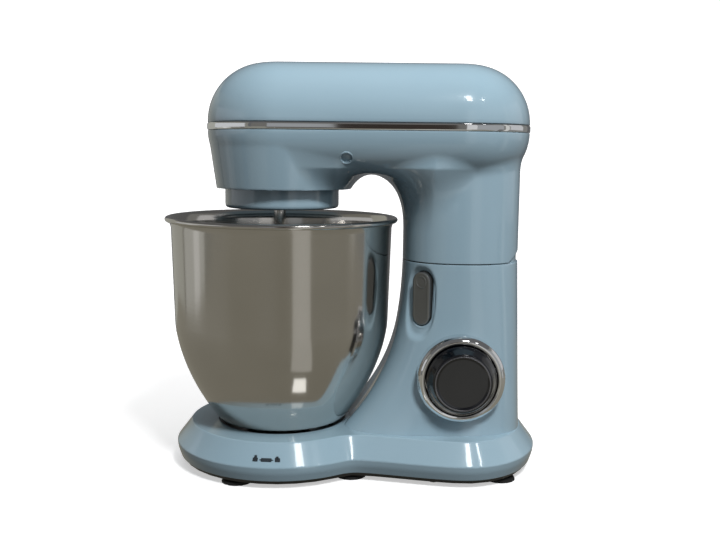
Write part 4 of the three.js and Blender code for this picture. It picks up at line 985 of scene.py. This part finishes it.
def slab(points):
    """A flat shape with a little thickness."""
    bm = bmesh.new()
    outline_corners = [bm.verts.new((x, y, 0)) for x, y in points]
    face = bmesh.ops.contextual_create(bm, geom=outline_corners)["faces"]
    made = bmesh.ops.extrude_face_region(bm, geom=face)["geom"]
    corners = [item for item in made if isinstance(item, bmesh.types.BMVert)]
    bmesh.ops.translate(bm, verts=corners, vec=(0, 0, SYMBOL_DEPTH))
    return bm


def shackle(lean):
    """A padlock's hoop, shut or leaning open."""
    arc = [(cos(pi * i / 12), sin(pi * i / 12)) for i in range(13)]
    outer = [(HOOP_OUTER * c, HOOP_OUTER * s) for c, s in arc]
    inner = [(HOOP_INNER * c, HOOP_INNER * s) for c, s in reversed(arc)]
    hoop = [
        (HOOP_OUTER, -HOOP_LEG), *outer, (-HOOP_OUTER, -HOOP_LEG),
        (-HOOP_INNER, -HOOP_LEG), *inner, (HOOP_INNER, -HOOP_LEG),
    ]
    leg = Vector((HOOP_LEG, 0))
    turn = Matrix.Rotation(-lean, 2)
    return [turn @ (Vector(point) + leg) - leg + Vector((0, HOOP_LIFT)) for point in hoop]


def bevel_place(turn):
    """A place low on the base's bevel at an angle round the lobe, with Z out of it."""
    slope = Vector((PLATEAU_INSET, 0, CREASE_Z - PLATEAU_Z)).normalized()
    outwards = Vector((-slope.z, 0, slope.x))
    middle = Vector((LOBE_RADIUS - PLATEAU_INSET / 2, 0, (CREASE_Z + PLATEAU_Z) / 2))
    place = Matrix.Translation(middle + slope * SYMBOL_DROP + outwards * 0.02)
    axes = Matrix((Vector((0, 1, 0)), -slope, outwards)).transposed().to_4x4()
    return Matrix.Rotation(turn, 4, "Z") @ place @ axes


lock_body = [(-2.1, -2.2), (2.1, -2.2), (2.1, 0.9), (-2.1, 0.9)]
arrows = [
    (-6, -0.6), (-4.2, 0.9), (-4.2, 0), (4.2, 0), (4.2, 0.9), (6, -0.6), (4.2, -2.1), (4.2, -1.2),
    (-4.2, -1.2), (-4.2, -2.1),
]
symbols = [
    ("lock_shut_body", -SYMBOL_SPACING, lock_body),
    ("lock_shut_hoop", -SYMBOL_SPACING, shackle(0)),
    ("lock_arrows", 0, arrows),
    ("lock_open_body", SYMBOL_SPACING, lock_body),
    ("lock_open_hoop", SYMBOL_SPACING, shackle(radians(38))),
]
for name, offset, points in symbols:
    where = bevel_place(SYMBOL_TURN + offset / LOBE_RADIUS)
    symbol = shown(name, slab(points), GREY_INK, where)
    for face in symbol.data.polygons:
        face.use_smooth = False
    fitted(symbol, "base", "black")

# ---- Floor, backdrop, cards and lights ----


def card(name, matrix, colour, near_share=1.0):
    """A glowing card that only reflections see. Its edge nearer the bowl keeps near_share of
    its width."""
    bm = bmesh.new()
    bmesh.ops.create_grid(bm, x_segments=1, y_segments=1, size=0.5)
    for corner in bm.verts:
        if corner.co.y > 0:
            corner.co.x *= near_share
    bmesh.ops.transform(bm, matrix=Matrix.Translation((BOWL_AXIS_X, 0, 0)) @ matrix, verts=bm.verts)
    mesh = bpy.data.meshes.new(name)
    bm.to_mesh(mesh)
    bm.free()
    glow = Finish(name, {
        "Base Color": (0, 0, 0, 1), "Emission Color": (*colour, 1), "Emission Strength": 1.0})
    mesh.materials.append(glow.material)
    made = bpy.data.objects.new(name, mesh)
    bpy.context.scene.collection.objects.link(made)
    made.visible_camera = False
    made.visible_shadow = False
    made.visible_diffuse = False


def upright_card(name, azimuth, distance, width, low, high, colour):
    """A card standing round the bowl, its azimuth counted from the front towards the column."""
    card(name, Matrix.Rotation(radians(azimuth), 4, "Z")
         @ Matrix.Translation((0, -distance, (low + high) / 2))
         @ Matrix.Rotation(pi / 2, 4, "X") @ Matrix.Diagonal((width, high - low, 1, 1)), colour)


FLOOR_BACK = 1.6
SWEEP_RADIUS = 0.8
floor_finish = Finish("pale_floor", {
    "Roughness": 0.6, "Emission Color": (1, 1, 1, 1), "Emission Strength": 0.5})
grey = floor_finish.noise(3, 3)
floor_finish.feed("Base Color", floor_finish.blend(grey, (0.86, 0.865, 0.87), (0.89, 0.89, 0.89)))
backdrop = bmesh.new()
sweep = [(-4, 0), (FLOOR_BACK, 0)]
for i in range(1, 13):
    turn = i * pi / 24
    sweep.append((FLOOR_BACK + SWEEP_RADIUS * sin(turn), SWEEP_RADIUS - SWEEP_RADIUS * cos(turn)))
sweep.append((FLOOR_BACK + SWEEP_RADIUS, 5))
strip = line(backdrop, [(-5, y, z) for y, z in sweep])
strip = [item for item in strip if isinstance(item, bmesh.types.BMEdge)]
made = bmesh.ops.extrude_edge_only(backdrop, edges=strip)["geom"]
far_side = [item for item in made if isinstance(item, bmesh.types.BMVert)]
bmesh.ops.translate(backdrop, verts=far_side, vec=(10, 0, 0))
floor_mesh = bpy.data.meshes.new("floor")
backdrop.to_mesh(floor_mesh)
backdrop.free()
for polygon in floor_mesh.polygons:
    polygon.use_smooth = True
floor_mesh.materials.append(floor_finish.material)
floor = bpy.data.objects.new("floor", floor_mesh)
bpy.context.scene.collection.objects.link(floor)
# The cards below stand for the room in reflections, and the world lights the shadows.
floor.visible_glossy = False
floor.visible_diffuse = False

world = bpy.data.worlds.new("studio")
world.use_nodes = True
world.node_tree.nodes["Background"].inputs["Color"].default_value = (0.97, 0.98, 1.0, 1)
world.node_tree.nodes["Background"].inputs["Strength"].default_value = 0.13
bpy.context.scene.world = world
bpy.context.scene.view_settings.view_transform = "Standard"


def area_light(name, place, aim, width, height, power, mirrored=False):
    """A soft light, which only a mirrored one shows in reflections."""
    data = bpy.data.lights.new(name, "AREA")
    data.shape = "RECTANGLE"
    data.size, data.size_y = width, height
    data.energy = power
    made = bpy.data.objects.new(name, data)
    bpy.context.scene.collection.objects.link(made)
    made.matrix_world = Matrix.Translation(place) @ (
        (Vector(place) - Vector(aim)).to_track_quat("Z", "Y").to_matrix().to_4x4())
    made.visible_glossy = mirrored


TARGET = (0, 0, 0.16)
area_light("key", (0.42, -1.0, 1.5), TARGET, 0.3, 0.3, 18)
area_light("side_fill", (1.3, -0.9, 0.9), TARGET, 0.8, 0.8, 2.5)
area_light("overhead", (0, -0.2, 1.7), TARGET, 1.2, 1.2, 5)
area_light("small_window", (0.34, -0.74, 1.08), TARGET, 0.15, 0.2, 1.3, mirrored=True)
area_light("small_lamp", (0.75, -0.69, 1.10), (0, 0, 0.3), 0.08, 0.08, 0.3, mirrored=True)
area_light("backdrop_wash", (0, 0.9, 1.8), (0, 2.2, 0.6), 3, 0.6, 40)

card("table_top", Matrix.Translation((0.04, -0.085, -0.001)) @ Matrix.Diagonal((1.28, 1.17, 1, 1)),
     (0.22, 0.208, 0.17))
card("table_glint", Matrix.Rotation(radians(23), 4, "Z") @ Matrix.Translation((0, -0.42, 0.0005))
     @ Matrix.Diagonal((0.2, 0.5, 1, 1)), (0.42, 0.41, 0.37), 0.3)
card("lamp_glint", Matrix.Rotation(radians(22), 4, "Z") @ Matrix.Translation((0, -0.134, 0.001))
     @ Matrix.Diagonal((0.03, 0.032, 1, 1)), (1.3, 1.3, 1.25))
upright_card("room_front", 0, 2.0, 3.6, -1.6, 1.4, (0.15, 0.145, 0.135))
upright_card("room_left", -90, 1.9, 3.6, -1.6, 1.4, (0.22, 0.215, 0.19))
upright_card("room_right", 90, 1.9, 3.6, -1.6, 1.4, (0.22, 0.22, 0.21))
upright_card("room_back_left", -135, 1.8, 1.2, -1.6, 1.0, (0.38, 0.38, 0.34))
upright_card("window_left", -97, 1.7, 1.0, -1.6, 0.1, (0.45, 0.45, 0.42))
upright_card("window_left_strip", -92, 1.6, 0.24, -1.6, 0.1, (0.62, 0.62, 0.60))
upright_card("window_left_high", -85, 1.7, 2.2, 0.1, 0.8, (0.58, 0.59, 0.60))
upright_card("window_frame", -58, 1.6, 0.22, -1.4, 0.1, (0.10, 0.10, 0.11))
upright_card("wall_left", -34, 1.85, 0.95, -1.6, 0.1, (0.29, 0.285, 0.25))
upright_card("wall_shade", -9, 1.9, 0.55, -1.5, 0.1, (0.09, 0.085, 0.08))
upright_card("wall_pale", -9, 1.9, 0.58, 0.1, 0.8, (0.32, 0.33, 0.34))
upright_card("doorway", 5.2, 1.85, 0.34, -1.5, 0.8, (0.03, 0.022, 0.018))
upright_card("window_middle", 24, 1.7, 0.45, -1.5, 1.0, (0.62, 0.62, 0.62))
upright_card("curtain_middle", 52, 1.75, 1.3, -1.5, 1.0, (0.34, 0.35, 0.36))
upright_card("curtain_edge", 69, 1.65, 0.22, -1.5, 0.1, (0.12, 0.12, 0.12))
upright_card("window_right", 79.5, 1.6, 0.2, -1.5, 1.0, (0.62, 0.62, 0.60))
upright_card("window_right_high", 100, 1.7, 0.9, 0.1, 1.0, (0.55, 0.55, 0.56))
